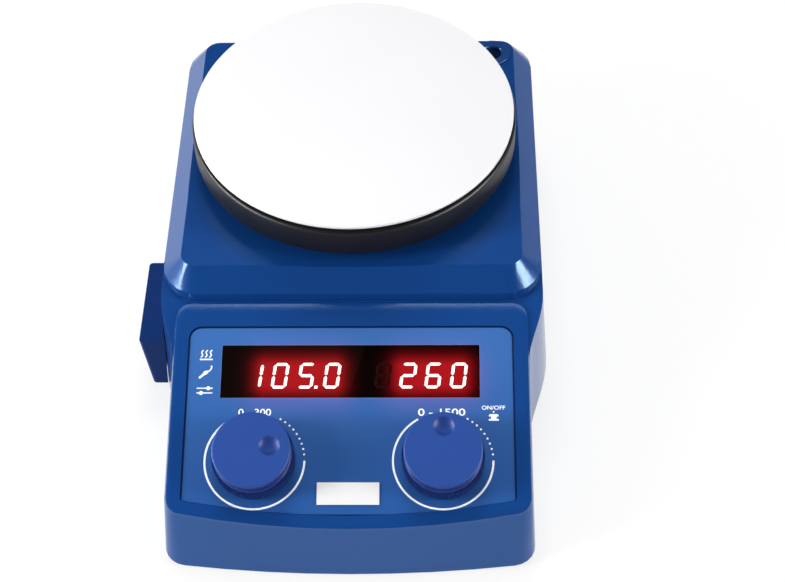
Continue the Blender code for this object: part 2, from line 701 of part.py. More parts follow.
def build_cavity():
    """The hollow of the housing, less the bosses that stay standing in it."""
    low = BODY_BOTTOM_Z - OVERRUN
    roof = rounded_outline(
        DECK_HALF_WIDTH - HOLLOW_ROOF_INSET,
        DECK_FRONT_Y + HOLLOW_ROOF_INSET,
        DECK_REAR_Y - HOLLOW_ROOF_INSET,
        DECK_CORNER_RADIUS,
        DECK_CORNER_RADIUS,
    )
    cavity = loft(
        "housing_hollow",
        BODY,
        [block_ring(low, WALL), block_ring(HOLLOW_KNEE_Z, WALL), at_height(roof, DECK_UNDER_Z)],
    )
    face = bowed_outline(
        FACE_HALF_WIDTH - WALL,
        WALL + FACE_EDGE_RADIUS / 2,
        FACE_LENGTH + CONSOLE_OVERLAP,
        FACE_FRONT_RADIUS - WALL,
        FACE_REAR_RADIUS - WALL,
        FACE_BOW_RADIUS,
    )
    console = loft(
        "console_hollow", BODY, [at_height(toe_outline(WALL, low), low), on_face(face, FACE_UNDER_H)]
    )
    combine(cavity, console, "UNION")
    top = DECK_Z + OVERRUN
    places = [(BOSS_RADIUS, BOSS_BOTTOM_Z, top, x, y) for x, y in base_boss_places()]
    places += [(BOSS_RADIUS, BRACKET_TOP_Z + GAP, top, x, y) for x, y in bracket_places()]
    rod_boss_low = DECK_Z - ROD_BUSH_LENGTH
    places.append((ROD_BUSH_RADIUS + GAP + ROD_BOSS_WALL, rod_boss_low, top, ROD_X, ROD_Y))
    combine(cavity, cylinders("housing_bosses", BODY, places, TINY_STEPS))
    return cavity


def build_housing():
    """The painted die-cast housing: deck, console, waist, wall and bosses in one shell."""
    housing = rear_block("upper_housing")
    combine(housing, waist_block("waist"), "UNION")
    combine(housing, console_block("console"), "UNION")
    combine(housing, build_cavity())

    high = DECK_Z + OVERRUN
    slope = DISH_DEPTH / (DISH_RADIUS - DISH_FLOOR_RADIUS)
    dish_top_radius = DISH_RADIUS + OVERRUN / slope
    dish = turned(
        "deck_dish",
        BODY,
        [(0, high), (dish_top_radius, high), (DISH_FLOOR_RADIUS, DISH_Z), (0, DISH_Z)],
        segments=ROUND_STEPS,
    )
    combine(housing, dish)

    drills = [(MOTOR_NOSE_RADIUS + GAP, DECK_UNDER_Z - OVERRUN, high, 0.0, 0.0)]
    for x, y in plate_screw_places():
        drills.append((PLATE_SCREW_RADIUS + GAP, DECK_UNDER_Z - OVERRUN, high, x, y))
    for x, y in bracket_places():
        bottom = BRACKET_TOP_Z - OVERRUN
        drills.append((SCREW_RADIUS + GAP, bottom, BRACKET_TOP_Z + GAP + SCREW_BITE, x, y))
    for x, y in base_boss_places():
        drills.append((SCREW_RADIUS + GAP, BODY_BOTTOM_Z - OVERRUN, BOSS_BOTTOM_Z + SCREW_BITE, x, y))
    drills.append((ROD_BUSH_RADIUS + GAP, DECK_Z - ROD_BUSH_LENGTH - OVERRUN, high, ROD_X, ROD_Y))
    combine(housing, cylinders("housing_drills", BODY, drills, SMALL_STEPS))

    combine(housing, slab("overlay_pocket", overlay_outline(GAP), -POCKET_DEPTH, OVERRUN))
    builder = bmesh.new()
    add_box(
        builder,
        (-WINDOW_HALF_WIDTH - GAP, WINDOW_LOW_V - GAP, FACE_UNDER_H - OVERRUN),
        (WINDOW_HALF_WIDTH + GAP, WINDOW_LOW_V + WINDOW_HEIGHT + GAP, OVERRUN),
    )
    for side in (-1, 1):
        x = side * KNOB_SPACING / 2
        add_cylinder(builder, BUSHING_RADIUS + GAP, FACE_UNDER_H - OVERRUN, OVERRUN, x, KNOB_V)
    combine(housing, as_object("face_openings", builder, FACE))

    builder = bmesh.new()
    inner_y = BLOCK_REAR_Y - WALL - OVERRUN
    outer_y = REAR_FACE_Y + OVERRUN
    half_width = INLET_WIDTH / 2 - INLET_BORDER + GAP
    half_height = INLET_HEIGHT / 2 - INLET_BORDER + GAP
    add_box(
        builder,
        (INLET_X - half_width, inner_y, INLET_Z - half_height),
        (INLET_X + half_width, outer_y, INLET_Z + half_height),
    )
    combine(housing, as_object("inlet_cutout", builder, BODY))
    builder = bmesh.new()
    add_cylinder(builder, SOCKET_RADIUS + GAP, inner_y, outer_y)
    bore = as_object("socket_cutout", builder, BODY, (SOCKET_X, 0, SOCKET_Z))
    bore.rotation_euler.x = -math.pi / 2
    combine(housing, bore)

    middle_y, middle_z = pod_middle()
    wires = box(
        "pod_wire_cutout",
        BODY,
        (-BLOCK_HALF_WIDTH - BLOCK_DRAFT - OVERRUN, middle_y, middle_z - POD_WIRE_HEIGHT / 2),
        (-POD_ROOT + OVERRUN - WALL, middle_y + POD_WIRE_WIDTH, middle_z + POD_WIRE_HEIGHT / 2),
    )
    combine(housing, wires)
    return finish(housing, (0.010, 0.055, 0.255), 0.38)


def slab(name, outline, low, high):
    """A flat piece in the console's face, between two heights."""
    return loft(name, FACE, [at_height(outline, low), at_height(outline, high)])


def overlay_outline(swell):
    """The outline of the light blue control overlay."""
    return bowed_outline(
        OVERLAY_HALF_WIDTH + swell,
        OVERLAY_MARGIN - swell,
        OVERLAY_TOP_V + swell,
        OVERLAY_BOTTOM_RADIUS + swell,
        OVERLAY_TOP_RADIUS + swell,
        FACE_BOW_RADIUS,
    )


def build_console_pieces():
    """Overlay, display window, display modules, control board and the blank label."""
    overlay = slab("control_overlay", overlay_outline(0.0), OVERLAY_TOP_H - OVERLAY_THICKNESS, OVERLAY_TOP_H)
    builder = bmesh.new()
    low, high = -POCKET_DEPTH - OVERRUN, OVERRUN
    add_box(
        builder,
        (-WINDOW_HALF_WIDTH - GAP, WINDOW_LOW_V - GAP, low),
        (WINDOW_HALF_WIDTH + GAP, WINDOW_LOW_V + WINDOW_HEIGHT + GAP, high),
    )
    for side in (-1, 1):
        add_cylinder(builder, NUT_RADIUS + NUT_CLEARANCE, low, high, side * KNOB_SPACING / 2, KNOB_V)
    combine(overlay, as_object("overlay_openings", builder, FACE))
    finish(overlay, (0.055, 0.190, 0.480), 0.32)

    window = box(
        "display_window",
        FACE,
        (-WINDOW_HALF_WIDTH, WINDOW_LOW_V, WINDOW_UNDER_H),
        (WINDOW_HALF_WIDTH, WINDOW_LOW_V + WINDOW_HEIGHT, WINDOW_TOP_H),
    )
    finish(window, (0.030, 0.002, 0.003), 0.08)

    middle_v = WINDOW_LOW_V + WINDOW_HEIGHT / 2
    for name, x, length in (
        ("heat_display", LED_X, LED_LENGTH),
        ("speed_display", LED_SHORT_X, LED_SHORT_LENGTH),
    ):
        module = box(
            name,
            FACE,
            (x - length / 2, middle_v - LED_WIDTH / 2, BOARD_TOP_H + GAP),
            (x + length / 2, middle_v + LED_WIDTH / 2, WINDOW_UNDER_H - GAP),
        )
        finish(module, (0.45, 0.01, 0.01), 0.4)

    board = box(
        "control_board",
        FACE,
        (-BOARD_HALF_WIDTH, BOARD_LOW_V, BOARD_TOP_H - BOARD_THICKNESS),
        (BOARD_HALF_WIDTH, BOARD_HIGH_V, BOARD_TOP_H),
    )
    finish(board, (0.02, 0.16, 0.06), 0.5)

    label = box(
        "blank_label",
        FACE,
        (-LABEL_LENGTH / 2, LABEL_V - LABEL_WIDTH / 2, OVERLAY_TOP_H + GAP),
        (LABEL_LENGTH / 2, LABEL_V + LABEL_WIDTH / 2, OVERLAY_TOP_H + GAP + LABEL_THICKNESS),
    )
    finish(label, (0.86, 0.86, 0.86), 0.45)


def knob_ring(radius, height, fluted):
    """A ring of the knob, plain or with fine flutes."""
    count = 2 * KNOB_FLUTES
    points = []
    for i in range(count):
        angle = 2 * math.pi * i / count
        r = radius - (KNOB_FLUTE_DEPTH if fluted and i % 2 else 0.0)
        points.append((r * math.cos(angle), r * math.sin(angle), height))
    return points


def build_knob(name, parent, dimple_angle):
    """A cup-shaped knob with a finely fluted skirt, a plain rim and a finger dimple."""
    skirt_top = KNOB_BOTTOM_H + KNOB_SKIRT_HEIGHT
    rings = [
        knob_ring(KNOB_SKIRT_RADIUS, KNOB_BOTTOM_H, True),
        knob_ring(KNOB_SKIRT_RADIUS, skirt_top, True),
        knob_ring(KNOB_RADIUS, skirt_top + KNOB_SKIRT_RADIUS - KNOB_RADIUS, False),
    ]
    for i in range(EDGE_STEPS + 1):
        angle = math.pi / 2 * i / EDGE_STEPS
        radius = KNOB_RADIUS - KNOB_EDGE_RADIUS * (1 - math.cos(angle))
        rings.append(knob_ring(radius, KNOB_TOP_H - KNOB_EDGE_RADIUS * (1 - math.sin(angle)), False))
    knob = loft(name, parent, rings)
    roof = KNOB_TOP_H - KNOB_ROOF
    post_low = BUSHING_TOP_H + KNOB_TRAVEL + GAP
    low = KNOB_BOTTOM_H - OVERRUN
    inner = KNOB_SKIRT_RADIUS - KNOB_WALL
    hollow = turned(
        name + "_hollow",
        parent,
        [
            (0, post_low),
            (KNOB_POST_RADIUS, post_low),
            (KNOB_POST_RADIUS, roof),
            (inner, roof),
            (inner, low),
            (0, low),
        ],
    )
    combine(knob, hollow)
    bore = cylinders(name + "_bore", parent, [(SHAFT_RADIUS + GAP, low, roof + GAP, 0.0, 0.0)])
    flat = box(
        name + "_flat",
        parent,
        (SHAFT_RADIUS + GAP - SHAFT_FLAT_DEPTH, -KNOB_POST_RADIUS, low - OVERRUN),
        (KNOB_POST_RADIUS, KNOB_POST_RADIUS, roof + OVERRUN),
    )
    combine(bore, flat)
    combine(knob, bore)
    sphere_radius = (DIMPLE_RADIUS**2 + DIMPLE_DEPTH**2) / (2 * DIMPLE_DEPTH)
    builder = bmesh.new()
    bmesh.ops.create_uvsphere(builder, u_segments=SMALL_STEPS, v_segments=SMALL_STEPS, radius=sphere_radius)
    dimple = as_object(
        name + "_dimple",
        builder,
        parent,
        (
            DIMPLE_OFFSET * math.cos(dimple_angle),
            DIMPLE_OFFSET * math.sin(dimple_angle),
            KNOB_TOP_H + sphere_radius - DIMPLE_DEPTH,
        ),
    )
    combine(knob, dimple)
    return finish(knob, (0.035, 0.090, 0.350), 0.36)


def build_control(name, side, dimple_angle):
    """One push-and-turn control: encoder, nut, plunger, shaft and knob on one axis."""
    axis = make_empty(name + "_axis", (side * KNOB_SPACING / 2, KNOB_V, 0), FACE)
    half = ENCODER_SIDE / 2
    bottom = ENCODER_TOP_H - ENCODER_HEIGHT
    encoder = box(name + "_encoder", axis, (-half, -half, bottom), (half, half, ENCODER_TOP_H))
    bushing = cylinders(
        name + "_bushing", axis, [(BUSHING_RADIUS, bottom + ENCODER_BORE_DEPTH, BUSHING_TOP_H, 0.0, 0.0)]
    )
    combine(encoder, bushing, "UNION")
    bore_top = bottom + ENCODER_BORE_DEPTH
    bores = turned(
        name + "_encoder_bores",
        axis,
        [
            (0, BUSHING_TOP_H + OVERRUN),
            (SHAFT_RADIUS + GAP, BUSHING_TOP_H + OVERRUN),
            (SHAFT_RADIUS + GAP, bore_top),
            (ENCODER_BORE_RADIUS, bore_top),
            (ENCODER_BORE_RADIUS, bottom - OVERRUN),
            (0, bottom - OVERRUN),
        ],
    )
    combine(encoder, bores)
    finish(encoder, (0.30, 0.31, 0.32), 0.4, 0.7)

    nut_low = -POCKET_DEPTH + GAP
    nut = cylinders(name + "_nut", axis, [(NUT_RADIUS, nut_low, nut_low + NUT_THICKNESS, 0.0, 0.0)], 6)
    hole = cylinders(
        name + "_nut_hole",
        axis,
        [(BUSHING_RADIUS + GAP, nut_low - OVERRUN, nut_low + NUT_THICKNESS + OVERRUN, 0.0, 0.0)],
    )
    combine(nut, hole)
    finish(nut, (0.62, 0.62, 0.60), 0.3, 1.0)

    flange_top = bore_top - GAP
    shaft_low = flange_top - SHAFT_FLANGE
    shaft_high = KNOB_TOP_H - KNOB_ROOF
    shaft = turned(
        name + "_shaft",
        axis,
        [
            (0, shaft_high),
            (SHAFT_RADIUS, shaft_high),
            (SHAFT_RADIUS, flange_top),
            (ENCODER_BORE_RADIUS - GAP, flange_top),
            (ENCODER_BORE_RADIUS - GAP, shaft_low),
            (0, shaft_low),
        ],
    )
    flat = box(
        name + "_shaft_flat",
        axis,
        (SHAFT_RADIUS - SHAFT_FLAT_DEPTH, -KNOB_POST_RADIUS, BUSHING_TOP_H + KNOB_TRAVEL),
        (KNOB_POST_RADIUS, KNOB_POST_RADIUS, shaft_high + OVERRUN),
    )
    combine(shaft, flat)
    finish(shaft, (0.60, 0.60, 0.58), 0.3, 1.0)

    plunger_top = shaft_low - GAP
    plunger = cylinders(
        name + "_plunger",
        axis,
        [(ENCODER_BORE_RADIUS - GAP, plunger_top - PLUNGER_THICKNESS, plunger_top, 0.0, 0.0)],
    )
    finish(plunger, (0.05, 0.05, 0.05), 0.5)
    build_knob(name + "_knob", axis, dimple_angle)


def build_plate():
    """Cover, heating plate, heater, insulation, sensor, pan, neck and the plate's screws."""
    edge = COVER_EDGE_RADIUS
    profile = [(0, PLATE_TOP_Z)]
    profile += [
        (
            PLATE_RADIUS - edge * (1 - math.sin(math.pi / 2 * i / EDGE_STEPS)),
            PLATE_TOP_Z - edge * (1 - math.cos(math.pi / 2 * i / EDGE_STEPS)),
        )
        for i in range(EDGE_STEPS + 1)
    ]
    profile += [(PLATE_RADIUS, COVER_Z), (0, COVER_Z)]
    cover = turned("plate_cover", BODY, profile, segments=ROUND_STEPS)
    finish(cover, (0.90, 0.90, 0.90), 0.25)

    radius = PAN_INNER_RADIUS - GAP
    high = HEATING_PLATE_Z + HEATING_PLATE_THICKNESS
    heating = turned(
        "heating_plate",
        BODY,
        [(0, high), (radius, high), (radius, HEATING_PLATE_Z), (0, HEATING_PLATE_Z)],
        segments=ROUND_STEPS,
    )
    finish(heating, (0.012, 0.012, 0.014), 0.4, 0.3)

    outer, inner = PAN_INNER_RADIUS - HEATER_INSET, HEATER_HOLE_RADIUS
    high = HEATER_Z + HEATER_THICKNESS
    heater = turned(
        "heater_element", BODY, [(outer, high), (outer, HEATER_Z), (inner, HEATER_Z), (inner, high)]
    )
    finish(heater, (0.50, 0.42, 0.30), 0.6)

    outer = PAN_INNER_RADIUS - GAP
    low, high = PAN_FLOOR_Z + GAP, HEATER_Z - GAP
    insulation = turned("insulation_disc", BODY, [(0, high), (outer, high), (outer, low), (0, low)])
    pocket = cylinders(
        "sensor_pocket", BODY, [(SENSOR_RADIUS + GAP, low - OVERRUN, high + OVERRUN, SENSOR_X, 0.0)]
    )
    combine(insulation, pocket)
    finish(insulation, (0.80, 0.78, 0.70), 0.9)

    sensor = cylinders("plate_sensor", BODY, [(SENSOR_RADIUS, low, high, SENSOR_X, 0.0)])
    finish(sensor, (0.60, 0.60, 0.60), 0.3, 1.0)

    edge = PAN_EDGE_RADIUS
    profile = [
        (
            PAN_RADIUS - edge * (1 - math.sin(math.pi / 2 * i / EDGE_STEPS)),
            PAN_TOP_Z - edge * (1 - math.cos(math.pi / 2 * i / EDGE_STEPS)),
        )
        for i in range(EDGE_STEPS + 1)
    ]
    profile += [
        (PAN_RADIUS, PAN_BOTTOM_Z),
        (PAN_WIRE_HOLE_RADIUS, PAN_BOTTOM_Z),
        (PAN_WIRE_HOLE_RADIUS, PAN_FLOOR_Z),
        (PAN_INNER_RADIUS, PAN_FLOOR_Z),
        (PAN_INNER_RADIUS, PAN_TOP_Z),
    ]
    pan = turned("heater_pan", BODY, profile, segments=ROUND_STEPS)
    low, high = PAN_BOTTOM_Z - OVERRUN, PAN_FLOOR_Z + OVERRUN
    holes = [(PLATE_SCREW_RADIUS + GAP, low, high, x, y) for x, y in plate_screw_places()]
    combine(pan, cylinders("pan_holes", BODY, holes, TINY_STEPS))
    finish(pan, (0.022, 0.021, 0.025), 0.42)

    low, high = DISH_Z + GAP, PAN_BOTTOM_Z - GAP
    inner = NECK_RADIUS - NECK_WALL
    neck = turned(
        "plate_neck",
        BODY,
        [(NECK_RADIUS, high), (NECK_RADIUS, low), (inner, low), (inner, high)],
        segments=ROUND_STEPS,
    )
    lugs = [(NECK_LUG_RADIUS, low, high, x, y) for x, y in plate_screw_places()]
    combine(neck, cylinders("neck_lugs", BODY, lugs, TINY_STEPS), "UNION")
    holes = [(PLATE_SCREW_RADIUS + GAP, low - OVERRUN, high + OVERRUN, x, y) for x, y in plate_screw_places()]
    combine(neck, cylinders("neck_holes", BODY, holes, TINY_STEPS))
    finish(neck, (0.02, 0.02, 0.022), 0.5)

    for number, (x, y) in enumerate(plate_screw_places(), 1):
        seat = DECK_UNDER_Z - GAP
        build_screw(f"plate_screw_{number}", x, y, seat, PAN_FLOOR_Z - seat, PLATE_SCREW_RADIUS)


def build_screw(name, x, y, seat, length, radius):
    """A screw driven up from below, its head under the seat."""
    head = SCREW_HEAD_RADIUS + radius - SCREW_RADIUS
    bottom, tip = seat - SCREW_HEAD_HEIGHT, seat + length
    screw = turned(
        name,
        BODY,
        [(0, tip), (radius, tip), (radius, seat), (head, seat), (head, bottom), (0, bottom)],
        (x, y, 0),
        TINY_STEPS,
    )
    return finish(screw, (0.60, 0.60, 0.60), 0.3, 1.0)


def build_motor():
    """The motor on its bracket, and what turns: rotor, shaft, magnet holder and magnets."""
    seat_radius = BEARING_RADIUS + GAP
    shaft_hole = MOTOR_SHAFT_RADIUS + MOTOR_SHAFT_CLEARANCE
    roof_z = MOTOR_TOP_Z - MOTOR_ROOF
    nose_seat_z = NOSE_TOP_Z - MOTOR_NOSE_ROOF
    housing = turned(
        "motor_housing",
        BODY,
        [
            (MOTOR_NOSE_RADIUS, NOSE_TOP_Z),
            (MOTOR_NOSE_RADIUS, MOTOR_TOP_Z),
            (MOTOR_RADIUS, MOTOR_TOP_Z),
            (MOTOR_RADIUS, MOTOR_BOTTOM_Z),
            (MOTOR_RADIUS - MOTOR_WALL, MOTOR_BOTTOM_Z),
            (MOTOR_RADIUS - MOTOR_WALL, roof_z),
            (seat_radius, roof_z),
            (seat_radius, nose_seat_z),
            (shaft_hole, nose_seat_z),
            (shaft_hole, NOSE_TOP_Z),
        ],
    )
    finish(housing, (0.55, 0.56, 0.58), 0.35, 0.9)

    plate_radius = MOTOR_RADIUS - MOTOR_WALL - GAP
    plate_top = MOTOR_BOTTOM_Z + END_PLATE_THICKNESS
    seat_z = plate_top - END_PLATE_THICKNESS / 2
    hub_top = seat_z + GAP + BEARING_HEIGHT
    end_plate = turned(
        "motor_end_plate",
        BODY,
        [
            (MOTOR_NOSE_RADIUS, hub_top),
            (MOTOR_NOSE_RADIUS, plate_top),
            (plate_radius, plate_top),
            (plate_radius, MOTOR_BOTTOM_Z),
            (shaft_hole, MOTOR_BOTTOM_Z),
            (shaft_hole, seat_z),
            (seat_radius, seat_z),
            (seat_radius, hub_top),
        ],
    )
    finish(end_plate, (0.50, 0.51, 0.53), 0.4, 0.9)

    bearing_bore = MOTOR_SHAFT_RADIUS + GAP
    for name, low in (
        ("motor_bearing_lower", seat_z + GAP),
        ("motor_bearing_upper", nose_seat_z - GAP - BEARING_HEIGHT),
    ):
        high = low + BEARING_HEIGHT
        bearing = turned(
            name,
            BODY,
            [(BEARING_RADIUS, high), (BEARING_RADIUS, low), (bearing_bore, low), (bearing_bore, high)],
        )
        finish(bearing, (0.70, 0.70, 0.72), 0.2, 1.0)

    stator_low = (hub_top + roof_z - STATOR_HEIGHT) / 2
    stator_high = stator_low + STATOR_HEIGHT
    stator = turned(
        "motor_stator",
        BODY,
        [
            (plate_radius, stator_high),
            (plate_radius, stator_low),
            (STATOR_BORE_RADIUS, stator_low),
            (STATOR_BORE_RADIUS, stator_high),
        ],
    )
    finish(stator, (0.45, 0.20, 0.08), 0.4, 0.6)

    rotor_radius = STATOR_BORE_RADIUS - ROTOR_AIR_GAP
    rotor = turned(
        "motor_rotor",
        BODY,
        [
            (rotor_radius, stator_high),
            (rotor_radius, stator_low),
            (bearing_bore, stator_low),
            (bearing_bore, stator_high),
        ],
    )
    finish(rotor, (0.10, 0.10, 0.11), 0.45, 0.5)

    high, low = HOLDER_TOP_Z + SHAFT_STUB, seat_z + GAP
    shaft = turned(
        "motor_shaft",
        BODY,
        [(0, high), (MOTOR_SHAFT_RADIUS, high), (MOTOR_SHAFT_RADIUS, low), (0, low)],
    )
    finish(shaft, (0.65, 0.65, 0.66), 0.2, 1.0)

    holder_outline = rounded_outline(
        HOLDER_LENGTH / 2, -HOLDER_WIDTH / 2, HOLDER_WIDTH / 2, HOLDER_CORNER_RADIUS, HOLDER_CORNER_RADIUS
    )
    holder = loft(
        "magnet_holder", BODY, [at_height(holder_outline, HOLDER_Z), at_height(holder_outline, HOLDER_TOP_Z)]
    )
    magnet_low = HOLDER_Z + HOLDER_SKIN + GAP
    cuts = [(bearing_bore, HOLDER_Z - OVERRUN, HOLDER_TOP_Z + OVERRUN, 0.0, 0.0)]
    for side in (-1, 1):
        x = side * MAGNET_SPACING / 2
        cuts.append((MAGNET_RADIUS + GAP, HOLDER_Z + HOLDER_SKIN, HOLDER_TOP_Z + OVERRUN, x, 0.0))
    combine(holder, cylinders("holder_cuts", BODY, cuts))
    finish(holder, (0.55, 0.56, 0.57), 0.4, 0.9)
    for name, side in (("drive_magnet_left", -1), ("drive_magnet_right", 1)):
        x = side * MAGNET_SPACING / 2
        magnet = cylinders(name, BODY, [(MAGNET_RADIUS, magnet_low, HOLDER_TOP_Z, x, 0.0)])
        finish(magnet, (0.30, 0.30, 0.32), 0.25, 1.0)

    bracket = turned(
        "motor_bracket",
        BODY,
        [
            (BRACKET_RADIUS, BRACKET_TOP_Z),
            (BRACKET_RADIUS, BRACKET_Z),
            (BRACKET_HOLE_RADIUS, BRACKET_Z),
            (BRACKET_HOLE_RADIUS, BRACKET_TOP_Z),
        ],
    )
    low, high = BRACKET_Z - OVERRUN, BRACKET_TOP_Z + OVERRUN
    holes = [(SCREW_RADIUS + GAP, low, high, x, y) for x, y in bracket_places()]
    combine(bracket, cylinders("bracket_holes", BODY, holes, TINY_STEPS))
    finish(bracket, (0.55, 0.56, 0.58), 0.4, 1.0)
    for number, (x, y) in enumerate(bracket_places(), 1):
        seat = BRACKET_Z - GAP
        length = BRACKET_TOP_Z + SCREW_BITE - seat
        build_screw(f"bracket_screw_{number}", x, y, seat, length, SCREW_RADIUS)


def foot_places():
    """Where the feet stand, with the names of their corners."""
    return (
        ("foot_front_left", -FOOT_X, FOOT_FRONT_Y),
        ("foot_front_right", FOOT_X, FOOT_FRONT_Y),
        ("foot_rear_left", -FOOT_X, FOOT_REAR_Y),
        ("foot_rear_right", FOOT_X, FOOT_REAR_Y),
    )


def standoff_places():
    """Where the power board is held."""
    half_length = POWER_BOARD_LENGTH / 2 - STANDOFF_INSET
    half_width = POWER_BOARD_WIDTH / 2 - STANDOFF_INSET
    return [
        (POWER_BOARD_X + x_side * half_length, POWER_BOARD_Y + y_side * half_width)
        for x_side in (-1, 1)
        for y_side in (-1, 1)
    ]


def build_base():
    """Base plate with vents and stand-offs, its screws, the feet and the power board with its parts."""
    inset = WALL + BASE_EDGE_GAP
    rear = block_ring(BASE_PLATE_Z, inset + draft_at(BASE_PLATE_Z) - draft_at(BASE_PLATE_TOP_Z))
    plate = loft(
        "base_plate", BODY, [rear, [(x, y, BASE_PLATE_TOP_Z) for x, y, z in rear]]
    )
    front = toe_outline(WALL + BASE_TONGUE_GAP, BASE_PLATE_TOP_Z)
    tongue = loft(
        "base_tongue",
        BODY,
        [at_height(front, BASE_PLATE_Z), at_height(front, BASE_PLATE_TOP_Z)],
    )
    combine(plate, tongue, "UNION")
    posts = [(STANDOFF_RADIUS, BASE_PLATE_Z, POWER_BOARD_Z - GAP, x, y) for x, y in standoff_places()]
    combine(plate, cylinders("board_standoffs", BODY, posts, TINY_STEPS), "UNION")
    pins = [
        (STANDOFF_PIN_RADIUS, BASE_PLATE_TOP_Z, POWER_BOARD_TOP_Z + BOARD_THICKNESS, x, y)
        for x, y in standoff_places()
    ]
    combine(plate, cylinders("standoff_pins", BODY, pins, TINY_STEPS), "UNION")
    low, high = BASE_PLATE_Z - OVERRUN, BASE_PLATE_TOP_Z + OVERRUN
    holes = [(SCREW_RADIUS + GAP, low, high, x, y) for x, y in base_boss_places()]
    holes += [(FOOT_STEM_RADIUS + GAP, low, high, x, y) for name, x, y in foot_places()]
    combine(plate, cylinders("base_holes", BODY, holes, TINY_STEPS))
    builder = bmesh.new()
    for i in range(VENT_COUNT):
        y = VENT_Y + (i - (VENT_COUNT - 1) / 2) * VENT_PITCH
        corner = (-VENT_LENGTH / 2, y - VENT_WIDTH / 2, low)
        add_box(builder, corner, (VENT_LENGTH / 2, y + VENT_WIDTH / 2, high))
    combine(plate, as_object("base_vents", builder, BODY))
    finish(plate, (0.10, 0.10, 0.11), 0.45, 0.6)

    for number, (x, y) in enumerate(base_boss_places(), 1):
        seat = BASE_PLATE_Z - GAP
        length = BOSS_BOTTOM_Z + SCREW_BITE - GAP - seat
        build_screw(f"base_screw_{number}", x, y, seat, length, SCREW_RADIUS)

    foot_top = BASE_PLATE_Z - GAP
    stem_top = BASE_PLATE_TOP_Z + FOOT_STEM_RISE
    for name, x, y in foot_places():
        foot = turned(
            name,
            BODY,
            [
                (0, stem_top),
                (FOOT_STEM_RADIUS, stem_top),
                (FOOT_STEM_RADIUS, foot_top),
                (FOOT_RADIUS, foot_top),
                (FOOT_RADIUS, FOOT_EDGE_RADIUS),
                (FOOT_RADIUS - FOOT_EDGE_RADIUS, 0),
                (0, 0),
            ],
            (x, y, 0),
            SMALL_STEPS,
        )
        finish(foot, (0.015, 0.015, 0.016), 0.8)

    board = box(
        "power_board",
        BODY,
        (POWER_BOARD_X - POWER_BOARD_LENGTH / 2, POWER_BOARD_Y - POWER_BOARD_WIDTH / 2, POWER_BOARD_Z),
        (POWER_BOARD_X + POWER_BOARD_LENGTH / 2, POWER_BOARD_Y + POWER_BOARD_WIDTH / 2, POWER_BOARD_TOP_Z),
    )
    holes = [
        (STANDOFF_PIN_RADIUS + GAP, POWER_BOARD_Z - OVERRUN, POWER_BOARD_TOP_Z + OVERRUN, x, y)
        for x, y in standoff_places()
    ]
    combine(board, cylinders("power_board_holes", BODY, holes, TINY_STEPS))
    part_low = POWER_BOARD_Z + GAP
    front = POWER_BOARD_Y - POWER_BOARD_WIDTH / 2 + BOARD_PART_MARGIN
    rear = POWER_BOARD_Y + POWER_BOARD_WIDTH / 2 - BOARD_PART_MARGIN
    builder = bmesh.new()
    add_cylinder(
        builder, CAPACITOR_RADIUS, part_low, POWER_BOARD_TOP_Z + CAPACITOR_HEIGHT, CAPACITOR_X, POWER_BOARD_Y
    )
    add_box(
        builder,
        (POWER_BOARD_X - TERMINAL_LENGTH / 2, front, part_low),
        (POWER_BOARD_X + TERMINAL_LENGTH / 2, front + TERMINAL_WIDTH, POWER_BOARD_TOP_Z + TERMINAL_HEIGHT),
    )
    add_box(
        builder,
        (POWER_BOARD_X - HEAT_SINK_LENGTH / 2, rear - HEAT_SINK_WIDTH, part_low),
        (POWER_BOARD_X + HEAT_SINK_LENGTH / 2, rear, POWER_BOARD_TOP_Z + HEAT_SINK_HEIGHT),
    )
    combine(board, as_object("power_board_parts", builder, BODY), "UNION")
    finish(board, (0.02, 0.16, 0.06), 0.5)

    low = POWER_BOARD_TOP_Z + GAP
    x = POWER_BOARD_X - POWER_BOARD_LENGTH / 4
    core = box(
        "transformer",
        BODY,
        (x - TRANSFORMER_LENGTH / 2, POWER_BOARD_Y - TRANSFORMER_SIDE * TRANSFORMER_COIL_SHARE / 2, low),
        (
            x + TRANSFORMER_LENGTH / 2,
            POWER_BOARD_Y + TRANSFORMER_SIDE * TRANSFORMER_COIL_SHARE / 2,
            low + TRANSFORMER_HEIGHT,
        ),
    )
    coil_length = TRANSFORMER_LENGTH * TRANSFORMER_COIL_SHARE
    coil = box(
        "transformer_coil",
        BODY,
        (x - coil_length / 2, POWER_BOARD_Y - TRANSFORMER_SIDE / 2, low + GAP),
        (x + coil_length / 2, POWER_BOARD_Y + TRANSFORMER_SIDE / 2, low + TRANSFORMER_HEIGHT - GAP),
    )
    combine(core, coil, "UNION")
    finish(core, (0.55, 0.45, 0.10), 0.5)

    x = POWER_BOARD_X + POWER_BOARD_LENGTH / 4
    relay = box(
        "heater_relay",
        BODY,
        (x - RELAY_LENGTH / 2, POWER_BOARD_Y - RELAY_WIDTH / 2, low),
        (x + RELAY_LENGTH / 2, POWER_BOARD_Y + RELAY_WIDTH / 2, low + RELAY_HEIGHT),
    )
    finish(relay, (0.02, 0.05, 0.20), 0.4)


